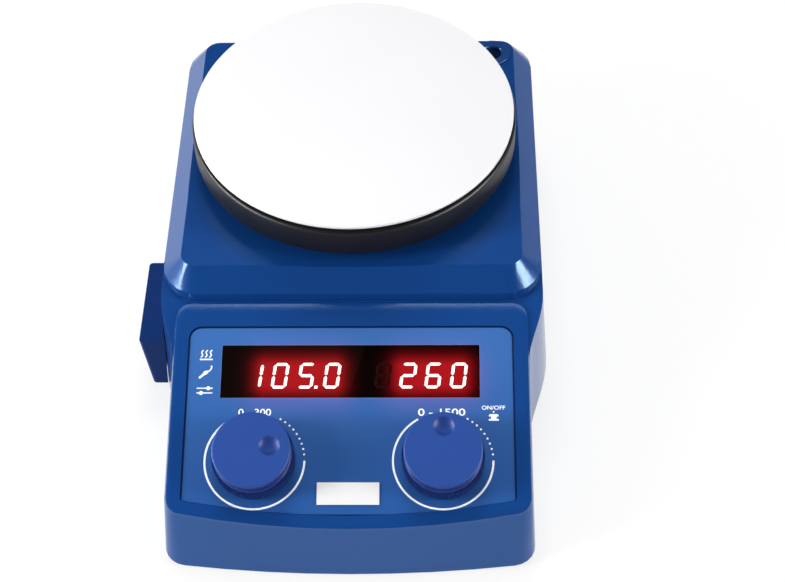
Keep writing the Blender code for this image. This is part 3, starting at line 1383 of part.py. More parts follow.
def build_rear():
    """Mains inlet with its fuse drawer, and the socket for the external sensor."""
    wall_y = REAR_FACE_Y - INLET_FLANGE + GAP
    half_width, half_height = INLET_WIDTH / 2, INLET_HEIGHT / 2
    inlet = box(
        "mains_inlet",
        BODY,
        (INLET_X - half_width, wall_y, INLET_Z - half_height),
        (INLET_X + half_width, REAR_FACE_Y, INLET_Z + half_height),
    )
    inner_width, inner_height = half_width - INLET_BORDER, half_height - INLET_BORDER
    body = box(
        "inlet_body",
        BODY,
        (INLET_X - inner_width, REAR_FACE_Y - INLET_BODY_DEPTH, INLET_Z - inner_height),
        (INLET_X + inner_width, REAR_FACE_Y - GAP, INLET_Z + inner_height),
    )
    combine(inlet, body, "UNION")
    cavity_z = INLET_Z + CAVITY_RISE
    floor_y = REAR_FACE_Y - CAVITY_DEPTH
    cavity = box(
        "inlet_cavity",
        BODY,
        (INLET_X - CAVITY_WIDTH / 2, floor_y, cavity_z - CAVITY_HEIGHT / 2),
        (INLET_X + CAVITY_WIDTH / 2, REAR_FACE_Y + OVERRUN, cavity_z + CAVITY_HEIGHT / 2),
    )
    combine(inlet, cavity)
    builder = bmesh.new()
    for x, rise in ((-BLADE_PITCH, 0.0), (0.0, BLADE_EARTH_RISE), (BLADE_PITCH, 0.0)):
        add_box(
            builder,
            (INLET_X + x - BLADE_THICKNESS / 2, floor_y - GAP, cavity_z + rise - BLADE_WIDTH / 2),
            (INLET_X + x + BLADE_THICKNESS / 2, floor_y + BLADE_LENGTH, cavity_z + rise + BLADE_WIDTH / 2),
        )
    combine(inlet, as_object("inlet_blades", builder, BODY), "UNION")
    drawer_z = INLET_Z - DRAWER_FALL
    slot_low = drawer_z - DRAWER_HEIGHT / 2 - GAP
    slot = box(
        "drawer_slot",
        BODY,
        (INLET_X - DRAWER_WIDTH / 2 - GAP, REAR_FACE_Y - DRAWER_DEPTH - GAP, slot_low),
        (INLET_X + DRAWER_WIDTH / 2 + GAP, REAR_FACE_Y + OVERRUN, drawer_z + DRAWER_HEIGHT / 2 + GAP),
    )
    combine(inlet, slot)
    finish(inlet, (0.012, 0.012, 0.013), 0.45)

    drawer = box(
        "fuse_drawer",
        BODY,
        (INLET_X - DRAWER_WIDTH / 2, REAR_FACE_Y - DRAWER_DEPTH, drawer_z - DRAWER_HEIGHT / 2),
        (INLET_X + DRAWER_WIDTH / 2, REAR_FACE_Y - DRAWER_FACE, drawer_z + DRAWER_HEIGHT / 2),
    )
    front = box(
        "drawer_front",
        BODY,
        (
            INLET_X - DRAWER_WIDTH / 2,
            REAR_FACE_Y - 2 * DRAWER_FACE,
            drawer_z - DRAWER_HEIGHT / 2,
        ),
        (
            INLET_X + DRAWER_WIDTH / 2,
            REAR_FACE_Y - GAP,
            drawer_z + DRAWER_HEIGHT / 2 - DRAWER_LIP,
        ),
    )
    combine(drawer, front, "UNION")
    builder = bmesh.new()
    low_y, high_y = REAR_FACE_Y - DRAWER_DEPTH + DRAWER_LIP, REAR_FACE_Y - 3 * DRAWER_FACE
    add_cylinder(builder, DRAWER_TROUGH_RADIUS, low_y, high_y)
    trough = as_object("drawer_trough", builder, BODY, (INLET_X, 0, drawer_z + DRAWER_HEIGHT / 2))
    trough.rotation_euler.x = -math.pi / 2
    combine(drawer, trough)
    finish(drawer, (0.014, 0.014, 0.015), 0.5)

    socket = turned(
        "sensor_socket",
        BODY,
        [
            (0, -SOCKET_DEPTH),
            (SOCKET_BORE_RADIUS, -SOCKET_DEPTH),
            (SOCKET_BORE_RADIUS, 0),
            (SOCKET_FLANGE_RADIUS, 0),
            (SOCKET_FLANGE_RADIUS, -SOCKET_FLANGE),
            (SOCKET_RADIUS, -SOCKET_FLANGE),
            (SOCKET_RADIUS, -SOCKET_LENGTH),
            (0, -SOCKET_LENGTH),
        ],
        (SOCKET_X, wall_y + SOCKET_FLANGE, SOCKET_Z),
    )
    socket.rotation_euler.x = -math.pi / 2
    finish(socket, (0.40, 0.40, 0.42), 0.35, 0.8)


def pod_middle():
    """The middle of the side pod in Y and Z."""
    return (POD_FRONT_Y + POD_REAR_Y) / 2, (BODY_BOTTOM_Z + POD_TOP_Z) / 2


def pod_ring(z, outer, inner, inset):
    """The pod's outline at a height, between two distances from the middle of the body."""
    return at_height(
        rounded_outline(
            (outer - inner) / 2 - inset / 2,
            POD_FRONT_Y + inset,
            POD_REAR_Y - inset,
            POD_CORNER_RADIUS,
            POD_CORNER_RADIUS,
            -(outer + inner) / 2 + inset / 2,
        ),
        z,
    )


def build_pod():
    """The side pod with the mains switch in it."""
    pod = loft(
        "switch_pod",
        BODY,
        [
            pod_ring(BODY_BOTTOM_Z, POD_REACH - POD_DRAFT, POD_ROOT, 0.0),
            pod_ring(POD_TOP_Z, POD_REACH, POD_ROOT, 0.0),
        ],
    )
    inner_low, inner_high = BODY_BOTTOM_Z + POD_WALL, POD_TOP_Z - POD_WALL
    root = POD_ROOT - OVERRUN
    hollow = loft(
        "pod_hollow",
        BODY,
        [
            pod_ring(inner_low, POD_REACH - POD_DRAFT, root, POD_WALL),
            pod_ring(inner_high, POD_REACH, root, POD_WALL),
        ],
    )
    combine(pod, hollow)
    combine(pod, rear_block("pod_block_cut", GAP))
    combine(pod, waist_block("pod_waist_cut", GAP + WAIST_INSET))
    middle_y, middle_z = pod_middle()
    half_length, half_height = SWITCH_LENGTH / 2, SWITCH_HEIGHT / 2
    face = -POD_REACH - SWITCH_PROUD
    cut = box(
        "switch_cutout",
        BODY,
        (face - OVERRUN, middle_y - half_length - GAP, middle_z - half_height - GAP),
        (
            POD_WALL + POD_DRAFT + GAP - POD_REACH,
            middle_y + half_length + GAP,
            middle_z + half_height + GAP,
        ),
    )
    combine(pod, cut)
    finish(pod, (0.007, 0.018, 0.090), 0.3)

    frame = box(
        "switch_frame",
        BODY,
        (face, middle_y - half_length, middle_z - half_height),
        (face + SWITCH_DEPTH, middle_y + half_length, middle_z + half_height),
    )
    well_depth = ROCKER_DEPTH + ROCKER_FLOOR_GAP
    well = box(
        "switch_well",
        BODY,
        (face - OVERRUN, middle_y - half_length + SWITCH_WALL, middle_z - half_height + SWITCH_WALL),
        (face + well_depth, middle_y + half_length - SWITCH_WALL, middle_z + half_height - SWITCH_WALL),
    )
    combine(frame, well)
    finish(frame, (0.012, 0.012, 0.013), 0.4)

    pivot = make_empty("rocker_pivot", (face + ROCKER_FLOOR_GAP, middle_y, middle_z), BODY)
    wide = half_height - SWITCH_WALL - GAP
    back = ROCKER_DEPTH - ROCKER_FLOOR_GAP
    tilt = math.tan(ROCKER_TILT) * ROCKER_HALF
    outline = [
        (-ROCKER_LIP, -ROCKER_HALF),
        (back - tilt, -ROCKER_HALF),
        (back, 0.0),
        (back - tilt, ROCKER_HALF),
        (-ROCKER_LIP, ROCKER_HALF),
        (ROCKER_DISH - ROCKER_LIP, 0.0),
    ]
    rocker = loft(
        "power_rocker", pivot, [at_height(outline, -wide), at_height(outline, wide)]
    )
    rocker.rotation_euler.z = -ROCKER_TILT
    finish(rocker, (0.50, 0.02, 0.015), 0.3)


def build_rod_bush():
    """The bush for the support rod, with its raised collar on the deck."""
    low = DECK_Z - ROD_BUSH_LENGTH
    collar_low = DECK_Z + GAP
    collar_high = collar_low + ROD_COLLAR_HEIGHT
    floor = low + ROD_BUSH_FLOOR
    bush = turned(
        "support_rod_bush",
        BODY,
        [
            (0, floor),
            (ROD_BORE_RADIUS, floor),
            (ROD_BORE_RADIUS, collar_high),
            (ROD_COLLAR_RADIUS, collar_high),
            (ROD_COLLAR_RADIUS, collar_low),
            (ROD_BUSH_RADIUS, collar_low),
            (ROD_BUSH_RADIUS, low),
            (0, low),
        ],
        (ROD_X, ROD_Y, 0),
    )
    finish(bush, (0.012, 0.045, 0.20), 0.35, 0.2)


for leftover in list(bpy.data.objects):
    bpy.data.objects.remove(leftover, do_unlink=True)

PARTS = make_collection("hotplate_stirrer")
CUTTERS = make_collection("cutters")
BODY = make_empty("body_frame", (BODY_X, BODY_Y, 0))
FACE = make_empty("face_frame", (0, LIP_Y, LIP_Z), BODY, CONSOLE_SLOPE)

build_housing()
build_console_pieces()
build_control("heat", -1, HEAT_DIMPLE_ANGLE)
build_control("speed", 1, SPEED_DIMPLE_ANGLE)
build_plate()
build_motor()
build_base()
build_rear()
build_pod()
build_rod_bush()
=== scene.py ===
# %% [markdown]
# # Hotplate stirrer: the looks
# A laboratory hotplate that also stirs: a white ceramic-faced plate on a blue cast housing, with
# two push-and-turn knobs and a red display on a sloping console. The solids come from the packed
# model. This script gives each of them its finish, and makes finer meshes for the pieces that the
# eye rests on. It starts by loading the imported model as a fixed frame.

# %% Load the imported model
import json
import math

import bmesh
import bpy
from mathutils import Matrix, Vector


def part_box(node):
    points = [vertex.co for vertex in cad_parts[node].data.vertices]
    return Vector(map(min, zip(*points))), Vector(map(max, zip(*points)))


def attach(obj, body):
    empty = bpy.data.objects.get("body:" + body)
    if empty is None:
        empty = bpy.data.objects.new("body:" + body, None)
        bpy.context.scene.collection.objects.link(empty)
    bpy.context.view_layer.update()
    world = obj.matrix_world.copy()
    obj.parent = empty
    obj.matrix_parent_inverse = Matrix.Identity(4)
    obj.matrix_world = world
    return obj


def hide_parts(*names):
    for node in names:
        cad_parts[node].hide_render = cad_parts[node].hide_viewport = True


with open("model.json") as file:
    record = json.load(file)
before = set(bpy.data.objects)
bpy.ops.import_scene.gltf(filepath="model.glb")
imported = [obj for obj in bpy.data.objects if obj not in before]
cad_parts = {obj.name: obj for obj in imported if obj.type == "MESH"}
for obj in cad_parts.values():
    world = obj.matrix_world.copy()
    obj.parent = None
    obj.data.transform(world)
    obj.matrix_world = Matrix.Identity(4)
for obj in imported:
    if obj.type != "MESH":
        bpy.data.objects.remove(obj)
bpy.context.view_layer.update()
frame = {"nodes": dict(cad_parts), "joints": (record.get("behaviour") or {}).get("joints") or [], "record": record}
NODES = frame["nodes"]
JOINTS = {joint["name"]: joint for joint in frame["joints"]}
MM = 0.001
print("nodes:", len(NODES), "joints:", len(JOINTS))

# %% [markdown]
# The overlay, the display, the knobs and all the printing lie on the console's sloping face, so
# their places are easier to give there: x to the right, v up the slope from the console's front
# lip, h square to the face. The knobs' hinges say where that face is, since they stand square
# on it, and one matrix takes any mesh from the face to the model.

# %% The console's own axes
KNOB_ROW = 28.2 * MM
left_axis = Vector(JOINTS["heat_knob_turn"]["pos_m"])
right_axis = Vector(JOINTS["speed_knob_turn"]["pos_m"])
FACE_NORMAL = Vector(JOINTS["heat_knob_turn"]["axis"]).normalized()
FACE_UP = FACE_NORMAL.cross(Vector((1, 0, 0))).normalized()
FACE_ORIGIN = (left_axis + right_axis) / 2 - FACE_UP * KNOB_ROW
KNOB_X = (right_axis - left_axis).x / 2
FACE_TURN = Matrix(((1, 0, 0), FACE_UP, FACE_NORMAL)).transposed().to_4x4()
FACE = Matrix.Translation(FACE_ORIGIN) @ FACE_TURN


def on_face(node):
    """The lowest and highest place of a CAD node along x, v and h of the console's face."""
    inverse = FACE.inverted()
    places = [inverse @ vertex.co for vertex in NODES[node].data.vertices]
    low = Vector([min(place[i] for place in places) for i in range(3)])
    high = Vector([max(place[i] for place in places) for i in range(3)])
    return low, high


OVERLAY_LOW, OVERLAY_HIGH = on_face("control_overlay")
PRINT_H = OVERLAY_HIGH.z
SLOPE = math.degrees(math.acos(FACE_NORMAL.z))
print("console slope:", round(SLOPE, 2), "overlay top h:", round(PRINT_H / MM, 2))

# %% [markdown]
# Shader maths reads best as plain sums. A small class wraps a socket, and each sum on it adds
# the Math node that does the work, also when a number stands on the left. Every other node comes
# from one function that sets the node's own settings first, and then the values or links of its
# sockets. The same two serve the Geometry Nodes trees further down.

# %% A socket that takes part in sums
def add_node(tree, kind, settings=None, inputs=None):
    """Add a node to a tree: first its settings or ramp stops, then a value or link for each socket."""
    node = tree.nodes.new(kind)
    for name, value in (settings or {}).items():
        if name == "stops":
            ramp = node.color_ramp
            while len(ramp.elements) < len(value):
                ramp.elements.new(1.0)
            for element, (position, color) in zip(ramp.elements, value):
                element.position = position
                element.color = (*color, 1.0)
        else:
            setattr(node, name, value)
    for key, value in (inputs or {}).items():
        if isinstance(value, Wire):
            tree.links.new(value.socket, node.inputs[key])
        else:
            node.inputs[key].default_value = value
    return node


class Wire:
    """An output socket that can be used in sums."""

    def __init__(self, tree, socket):
        self.tree = tree
        self.socket = socket

    def maths(self, operation, *terms):
        node = add_node(self.tree, "ShaderNodeMath", {"operation": operation}, dict(enumerate(terms)))
        return Wire(self.tree, node.outputs[0])

    def __add__(self, other):
        return self.maths("ADD", self, other)

    def __radd__(self, other):
        return self.maths("ADD", other, self)

    def __sub__(self, other):
        return self.maths("SUBTRACT", self, other)

    def __rsub__(self, other):
        return self.maths("SUBTRACT", other, self)

    def __mul__(self, other):
        return self.maths("MULTIPLY", self, other)

    def __rmul__(self, other):
        return self.maths("MULTIPLY", other, self)

    def __truediv__(self, other):
        return self.maths("DIVIDE", self, other)

    def __rtruediv__(self, other):
        return self.maths("DIVIDE", other, self)

    def __pow__(self, other):
        return self.maths("POWER", self, other)

    def __abs__(self):
        return self.maths("ABSOLUTE", self)

    def above(self, other):
        return self.maths("MAXIMUM", self, other)

    def below(self, other):
        return self.maths("MINIMUM", self, other)

    def smooth(self, low, high):
        """0 under low, 1 over high, and an even S between them."""
        settings = {"interpolation_type": "SMOOTHSTEP"}
        values = {"Value": self, "From Min": low, "From Max": high, "To Min": 0.0, "To Max": 1.0}
        return Wire(self.tree, add_node(self.tree, "ShaderNodeMapRange", settings, values).outputs[0])


# %% [markdown]
# A finish is one Principled shader and what feeds it. Patterns are read from Object coordinates,
# which are metres in the model's own frame, so a grain of a given size is a noise whose scale is
# one over that size. Relief is given in metres too, through a Bump node.

# %% One material under construction
class Finish:
    """A material with one Principled shader, and methods that feed its sockets."""

    def __init__(self, name, **constants):
        self.material = bpy.data.materials.new(name)
        self.material.use_nodes = True
        self.tree = self.material.node_tree
        self.shader = self.tree.nodes["Principled BSDF"]
        place = self.tree.nodes.new("ShaderNodeTexCoord")
        self.place = Wire(self.tree, place.outputs["Object"])
        for socket, value in constants.items():
            self.feed(socket.replace("_", " "), value)

    def feed(self, socket, value):
        """Give one of the shader's sockets a value or a link."""
        plug = self.shader.inputs[socket]
        if isinstance(value, Wire):
            self.tree.links.new(value.socket, plug)
        elif isinstance(value, tuple):
            plug.default_value = (*value, 1.0)
        else:
            plug.default_value = value

    def add(self, kind, settings=None, inputs=None, output=0):
        """Any node, with its output as a Wire."""
        return Wire(self.tree, add_node(self.tree, kind, settings, inputs).outputs[output])

    def along(self, axis):
        """The place along x, y or z, in metres."""
        return self.add("ShaderNodeSeparateXYZ", inputs={0: self.place}, output=axis)

    def grain(self, size, detail=2.0, stretch=(1.0, 1.0, 1.0)):
        """Noise from 0 to 1 whose blobs are about a size across."""
        where = self.add("ShaderNodeMapping", inputs={"Vector": self.place, "Scale": stretch})
        inputs = {"Vector": where, "Scale": 1 / size, "Detail": detail}
        return self.add("ShaderNodeTexNoise", inputs=inputs)

    def mix(self, mask, first, second):
        """The first colour where the mask is 0 and the second where it is 1."""
        colors = [color if isinstance(color, Wire) else (*color, 1.0) for color in (first, second)]
        inputs = {0: mask, 6: colors[0], 7: colors[1]}
        return self.add("ShaderNodeMix", {"data_type": "RGBA"}, inputs, 2)

    def relief(self, height, depth):
        """Bump: a height from 0 to 1 that stands for a depth in metres."""
        self.feed("Normal", self.add("ShaderNodeBump", inputs={"Height": height, "Distance": depth}))

    def done(self):
        return self.material


def face_axes(finish):
    """x, v and h of the console's face at each point of a material."""
    x, y, z = [finish.along(i) - FACE_ORIGIN[i] for i in range(3)]
    return x, y * FACE_UP.y + z * FACE_UP.z, y * FACE_NORMAL.y + z * FACE_NORMAL.z


def outside_box(x, v, half_x, half_v, corner=0.0):
    """How far a point lies outside a rectangle round the origin whose corners are round."""
    off_x = (abs(x) - (half_x - corner)).above(0.0)
    off_v = (abs(v) - (half_v - corner)).above(0.0)
    return (off_x * off_x + off_v * off_v) ** 0.5 - corner


# %% [markdown]
# The housing wears a textured powder paint: from afar a plain deep blue, close up a fine orange
# peel that softens every highlight. Two grains make the peel, a soft one about 1.6 mm across and
# a finer one of 0.7 mm. The colour drifts a little over the part, as sprayed paint does.

# %% Body paint
PAINT_DRIFT = 60 * MM
PAINT_SPECK = 0.55 * MM
PEEL_SOFT = 1.6 * MM
PEEL_FINE = 0.7 * MM
PEEL_DEPTH = 0.075 * MM
PAINT_SHEEN = {"Specular_IOR_Level": 0.7, "Specular_Tint": (0.50, 0.78, 1.0)}


def textured_paint(name, deep, light, roughness=0.20):
    """Powder paint with an orange peel."""
    finish = Finish(name, Coat_Roughness=0.10, Coat_Weight=0.15, **PAINT_SHEEN)
    drift = finish.grain(PAINT_DRIFT, 2.0)
    speck = finish.grain(PAINT_SPECK, 1.0)
    finish.feed("Base Color", finish.mix(drift * 0.7 + speck * 0.3, deep, light))
    finish.feed("Roughness", roughness - 0.05 + 0.10 * speck)
    finish.relief(0.5 * finish.grain(PEEL_SOFT, 1.0) + 0.5 * finish.grain(PEEL_FINE, 1.0), PEEL_DEPTH)
    return finish.done()


BODY_PAINT = textured_paint("body_paint", (0.0045, 0.049, 0.225), (0.0070, 0.061, 0.265))
BUSH_PAINT = textured_paint("bush_paint", (0.008, 0.044, 0.195), (0.011, 0.058, 0.235), 0.30)
print("paint nodes:", len(BODY_PAINT.node_tree.nodes))

# %% [markdown]
# Most of the other finishes are one of a few kinds: a moulded plastic, a metal with fine lines,
# or a rough mineral stuff. One function covers them, with two colours to drift between, a
# roughness with its own drift, and a grain with its size, depth and stretch.

# %% Plain finishes by kind
WANDER = 0.08
EVEN = (1.0, 1.0, 1.0)


def grained(name, dark, light, roughness, size, depth, metallic=0.0, stretch=EVEN, gloss=0.5):
    """A surface whose colour and roughness drift over a grain that also gives its relief."""
    finish = Finish(name, Metallic=metallic, Specular_IOR_Level=gloss)
    grain = finish.grain(size, 3.0, stretch=stretch)
    drift = finish.grain(40 * MM, 2.0)
    finish.feed("Base Color", finish.mix(0.5 * grain + 0.5 * drift, dark, light))
    finish.feed("Roughness", roughness - WANDER / 2 + WANDER * grain)
    finish.relief(grain, depth)
    return finish.done()


LINES = (0.06, 0.06, 1.0)
PLAIN = {
    "zinc_metal": ((0.40, 0.41, 0.43), (0.52, 0.53, 0.55), 0.38, 0.8 * MM, 0.01 * MM, 0.9),
    "plated_steel": ((0.55, 0.55, 0.54), (0.68, 0.68, 0.66), 0.28, 0.3 * MM, 0.004 * MM, 1.0, LINES),
    "black_plastic": ((0.010, 0.010, 0.011), (0.017, 0.017, 0.018), 0.45, 0.35 * MM, 0.012 * MM),
    "dark_casting": ((0.006, 0.006, 0.007), (0.014, 0.013, 0.015), 0.42, 0.6 * MM, 0.008 * MM),
    "mica_heater": ((0.42, 0.34, 0.22), (0.58, 0.49, 0.36), 0.62, 3.0 * MM, 0.05 * MM),
    "mineral_wool": ((0.66, 0.64, 0.56), (0.84, 0.82, 0.74), 0.92, 1.2 * MM, 0.30 * MM),
    "dark_magnet": ((0.07, 0.07, 0.08), (0.12, 0.12, 0.13), 0.42, 0.5 * MM, 0.01 * MM, 0.6),
    "cast_aluminium": ((0.48, 0.49, 0.50), (0.60, 0.61, 0.62), 0.45, 0.7 * MM, 0.02 * MM, 0.9),
    "base_paint": ((0.030, 0.031, 0.034), (0.045, 0.046, 0.050), 0.5, 0.8 * MM, 0.03 * MM),
    "foot_rubber": ((0.010, 0.010, 0.011), (0.020, 0.020, 0.021), 0.85, 0.5 * MM, 0.03 * MM),
    "relay_plastic": ((0.015, 0.04, 0.17), (0.025, 0.06, 0.22), 0.40, 0.6 * MM, 0.01 * MM),
    "pod_plastic": ((0.005, 0.028, 0.128), (0.0065, 0.032, 0.145), 0.42, 0.7 * MM, 0.01 * MM, 0.0, EVEN, 0.06),
    "rocker_red": ((0.42, 0.015, 0.012), (0.52, 0.022, 0.016), 0.28, 0.8 * MM, 0.006 * MM),
    "led_red": ((0.30, 0.008, 0.008), (0.42, 0.012, 0.012), 0.35, 0.8 * MM, 0.006 * MM),
}
FINISHES = {name: grained(name, *settings) for name, settings in PLAIN.items()}
FINISHES |= {"body_paint": BODY_PAINT, "bush_paint": BUSH_PAINT}
print("plain finishes:", len(FINISHES))

# %% [markdown]
# The plate's cover is a smooth white glaze, hardly structured at all, with the faint mottling
# that a fired coat has. The pan below it is a dark enamel with a hint of violet, whose sheen
# wanders. The knobs are satin plastic with a finely etched skin, and painted shade makes them
# darker in the dimple and down the skirt than on the face.

# %% Ceramic, enamel, knob plastic and label
def ceramic():
    finish = Finish("white_ceramic", Coat_Weight=0.20, Coat_Roughness=0.08)
    mottle = finish.grain(30 * MM, 2.0)
    finish.feed("Base Color", finish.mix(mottle, (0.845, 0.842, 0.862), (0.863, 0.860, 0.879)))
    finish.feed("Roughness", 0.34 + 0.04 * finish.grain(6 * MM))
    finish.relief(finish.grain(1.2 * MM, 1.0), 0.0015 * MM)
    return finish.done()


def enamel():
    finish = Finish("dark_enamel", Specular_IOR_Level=0.45)
    wander = finish.grain(14 * MM, 3.0)
    finish.feed("Base Color", finish.mix(wander, (0.0035, 0.0030, 0.0045), (0.0055, 0.0050, 0.0065)))
    finish.feed("Roughness", 0.36 + 0.10 * finish.grain(1.0 * MM))
    finish.relief(finish.grain(0.8 * MM, 2.0), 0.012 * MM)
    return finish.done()


KNOB_TOP = on_face("heat_knob")[1].z
FACE_REACH = 13.0 * MM
SHADE_BELOW_TOP = (-0.9 * MM, -0.1 * MM)


def knob_plastic():
    finish = Finish("knob_plastic", Specular_IOR_Level=0.25)
    x, v, h = face_axes(finish)
    spark = finish.grain(0.35 * MM, 2.0)
    tone = finish.mix(finish.grain(12 * MM), (0.0165, 0.064, 0.300), (0.0190, 0.070, 0.318))
    off_x, off_v = abs(x) - KNOB_X, v - KNOB_ROW
    face = 1.0 - (off_x * off_x + off_v * off_v).smooth(FACE_REACH**2, (FACE_REACH + MM) ** 2)
    # Painted shade: below the knob's top the colour darkens, less in the dimple, more down the skirt.
    sunk_shade = 1.0 - (h - KNOB_TOP).smooth(*SHADE_BELOW_TOP)
    finish.feed("Base Color", finish.mix(sunk_shade * (0.85 - 0.30 * face), tone, (0.006, 0.026, 0.180)))
    finish.feed("Roughness", 0.38 + 0.10 * spark)
    finish.relief(spark, 0.010 * MM)
    return finish.done()


def label_paper():
    finish = Finish("label_paper", Coat_Weight=0.30, Coat_Roughness=0.2)
    fibre = finish.grain(0.8 * MM, 4.0, stretch=(0.3, 1.0, 1.0))
    finish.feed("Base Color", finish.mix(fibre, (0.83, 0.83, 0.83), (0.88, 0.88, 0.885)))
    finish.feed("Roughness", 0.42 + 0.1 * fibre)
    finish.relief(fibre, 0.006 * MM)
    return finish.done()


FINISHES["white_ceramic"] = ceramic()
FINISHES["dark_enamel"] = enamel()
FINISHES["knob_plastic"] = knob_plastic()
FINISHES["label_paper"] = label_paper()

# %% [markdown]
# Inside the housing, the stator is wound with copper wire, the transformer carries yellow tape
# round its core, and the boards are green laminate with tracks. Their finishes follow the same
# pattern, with a wave or a brick pattern for what repeats.

# %% Windings, tape and circuit boards
def winding():
    finish = Finish("copper_winding", Metallic=0.8)
    settings = {"wave_type": "BANDS", "bands_direction": "Z"}
    inputs = {"Vector": finish.place, "Scale": 400.0, "Distortion": 0.4}
    turns = finish.add("ShaderNodeTexWave", settings, inputs)
    finish.feed("Base Color", finish.mix(turns, (0.20, 0.07, 0.02), (0.62, 0.26, 0.10)))
    finish.feed("Roughness", 0.45 - 0.15 * turns)
    finish.relief(turns, 0.2 * MM)
    return finish.done()


def laminate():
    finish = Finish("circuit_board")
    settings = {"offset": 0.5, "squash": 1.0}
    inputs = {"Vector": finish.place, "Scale": 160.0, "Mortar Size": 0.04}
    inputs |= {"Brick Width": 0.9, "Row Height": 0.4}
    tracks = finish.add("ShaderNodeTexBrick", settings, inputs, 1)
    finish.feed("Base Color", finish.mix(tracks, (0.010, 0.110, 0.035), (0.030, 0.220, 0.080)))
    finish.feed("Roughness", 0.42 + 0.1 * finish.grain(2 * MM))
    finish.relief(tracks, 0.03 * MM)
    return finish.done()


def taped_core():
    finish = Finish("transformer_body")
    tape = (finish.grain(1.2 * MM, 2.0, stretch=(0.1, 1.0, 1.0)) * 1.4 - 0.2).above(0.0)
    finish.feed("Base Color", finish.mix(tape, (0.42, 0.31, 0.04), (0.62, 0.50, 0.10)))
    finish.feed("Roughness", 0.45 + 0.1 * tape)
    finish.relief(tape, 0.04 * MM)
    return finish.done()


FINISHES["copper_winding"] = winding()
FINISHES["circuit_board"] = laminate()
FINISHES["transformer_body"] = taped_core()

# %% [markdown]
# The display shows plain figures in seven segments, lit red from behind a dark window. Each
# figure stands in a cell, and the cells' places are needed twice: for the segments themselves
# and for the red light that spills round them, both in the window and, faintly, on the overlay.

# %% The figures' places
FIGURE_WIDTH = 6.3 * MM
FIGURE_HEIGHT = 10.9 * MM
FIGURE_LOW_V = 58.2 * MM
FIGURE_SLANT = 0.12
STROKE = 1.2 * MM
SEGMENT_GAP = 0.16 * MM
HEAT_READING = (("1", -42.2 * MM), ("0", -31.9 * MM), ("5", -21.4 * MM), ("0", -11.0 * MM))
SPEED_READING = (("", 9.4 * MM), ("2", 19.5 * MM), ("6", 29.6 * MM), ("0", 39.7 * MM))
POINT_X = -14.3 * MM
FIGURE_MIDDLE_V = FIGURE_LOW_V + FIGURE_HEIGHT / 2
INNER_FADE = 2.0 * MM


def spill(finish, reach):
    """How strongly the lit figures light a point: 1 among them, fading outside over a reach."""
    x, v, _ = face_axes(finish)
    off_v = (abs(v - FIGURE_MIDDLE_V) - FIGURE_HEIGHT / 2 + INNER_FADE).above(0.0)
    total = None
    for reading in (HEAT_READING, SPEED_READING):
        lit = [place for figure, place in reading if figure]
        first = lit[0] + (FIGURE_WIDTH if reading[0][0] == "1" else 0.0)
        last = lit[-1] + FIGURE_WIDTH
        off_x = (abs(x - (first + last) / 2) - (last - first) / 2 + INNER_FADE).above(0.0)
        far = (off_x * off_x + off_v * off_v) / (reach * reach)
        part = finish.add("ShaderNodeMath", {"operation": "EXPONENT"}, {0: -1.0 * far})
        total = part if total is None else total + part
    return total.below(1.0)


# %% [markdown]
# The overlay is a printed polyester film: light blue, satin, a touch lighter towards the window
# and deeper by the front edge, with painted shade in a thin dark line round its border and a faint
# painted red glow near the figures. The window is glossy and nearly black, with a painted
# reflection that lightens its colour left of one slanting edge, and it glows red round the figures.

# %% Overlay film and display window
REFLECTION_EDGE_X = 2.0 * MM
REFLECTION_EDGE_SLANT = 0.30
REFLECTION_EDGE_BLUR = 0.3 * MM
OVERLAY_CORNER = 5.0 * MM
WINDOW_LINE = (0.25 * MM, 0.60 * MM)
GROOVE_SHADE = (0.20 * MM, 0.55 * MM)
OVERLAY_SPILL = 9.0 * MM
WIDE_GLOW = 6.2 * MM
CLOSE_GLOW = 4.2 * MM
WINDOW_LOW, WINDOW_HIGH = on_face("display_window")
WINDOW_MIDDLE = (WINDOW_LOW + WINDOW_HIGH) / 2
WINDOW_HALF = (WINDOW_HIGH - WINDOW_LOW) / 2


def overlay_film():
    finish = Finish("overlay_film", Specular_IOR_Level=0.4, Emission_Strength=1.0)
    x, v, _ = face_axes(finish)
    rise = v.smooth(OVERLAY_LOW.y, OVERLAY_HIGH.y)
    mottle = finish.grain(0.5 * MM, 2.0)
    base = finish.mix(rise, (0.014, 0.090, 0.335), (0.032, 0.140, 0.435))
    base = finish.mix(0.06 * mottle, base, (0.060, 0.200, 0.560))
    away = outside_box(x, v - WINDOW_MIDDLE.y, WINDOW_HALF.x, WINDOW_HALF.y)
    base = finish.mix(0.8 * (1.0 - away.smooth(*WINDOW_LINE)), base, (0.16, 0.24, 0.50))
    # Painted shade: a thin dark line just inside the overlay's border, for the shadow in the gap round it.
    half = (OVERLAY_HIGH.y - OVERLAY_LOW.y) / 2
    inside = -1.0 * outside_box(x, v - OVERLAY_HIGH.y + half, OVERLAY_HIGH.x, half, OVERLAY_CORNER)
    base = finish.mix(1.0 - inside.smooth(*GROOVE_SHADE), base, (0.003, 0.012, 0.055))
    finish.feed("Base Color", base)
    # Painted light: the film itself glows faintly red near the figures, for the display's light falling on it.
    near = spill(finish, OVERLAY_SPILL)
    finish.feed("Emission Color", finish.mix(near, (0.0, 0.0, 0.0), (0.120, 0.008, 0.060)))
    finish.feed("Roughness", 0.34 + 0.06 * mottle)
    finish.relief(mottle, 0.005 * MM)
    return finish.done()


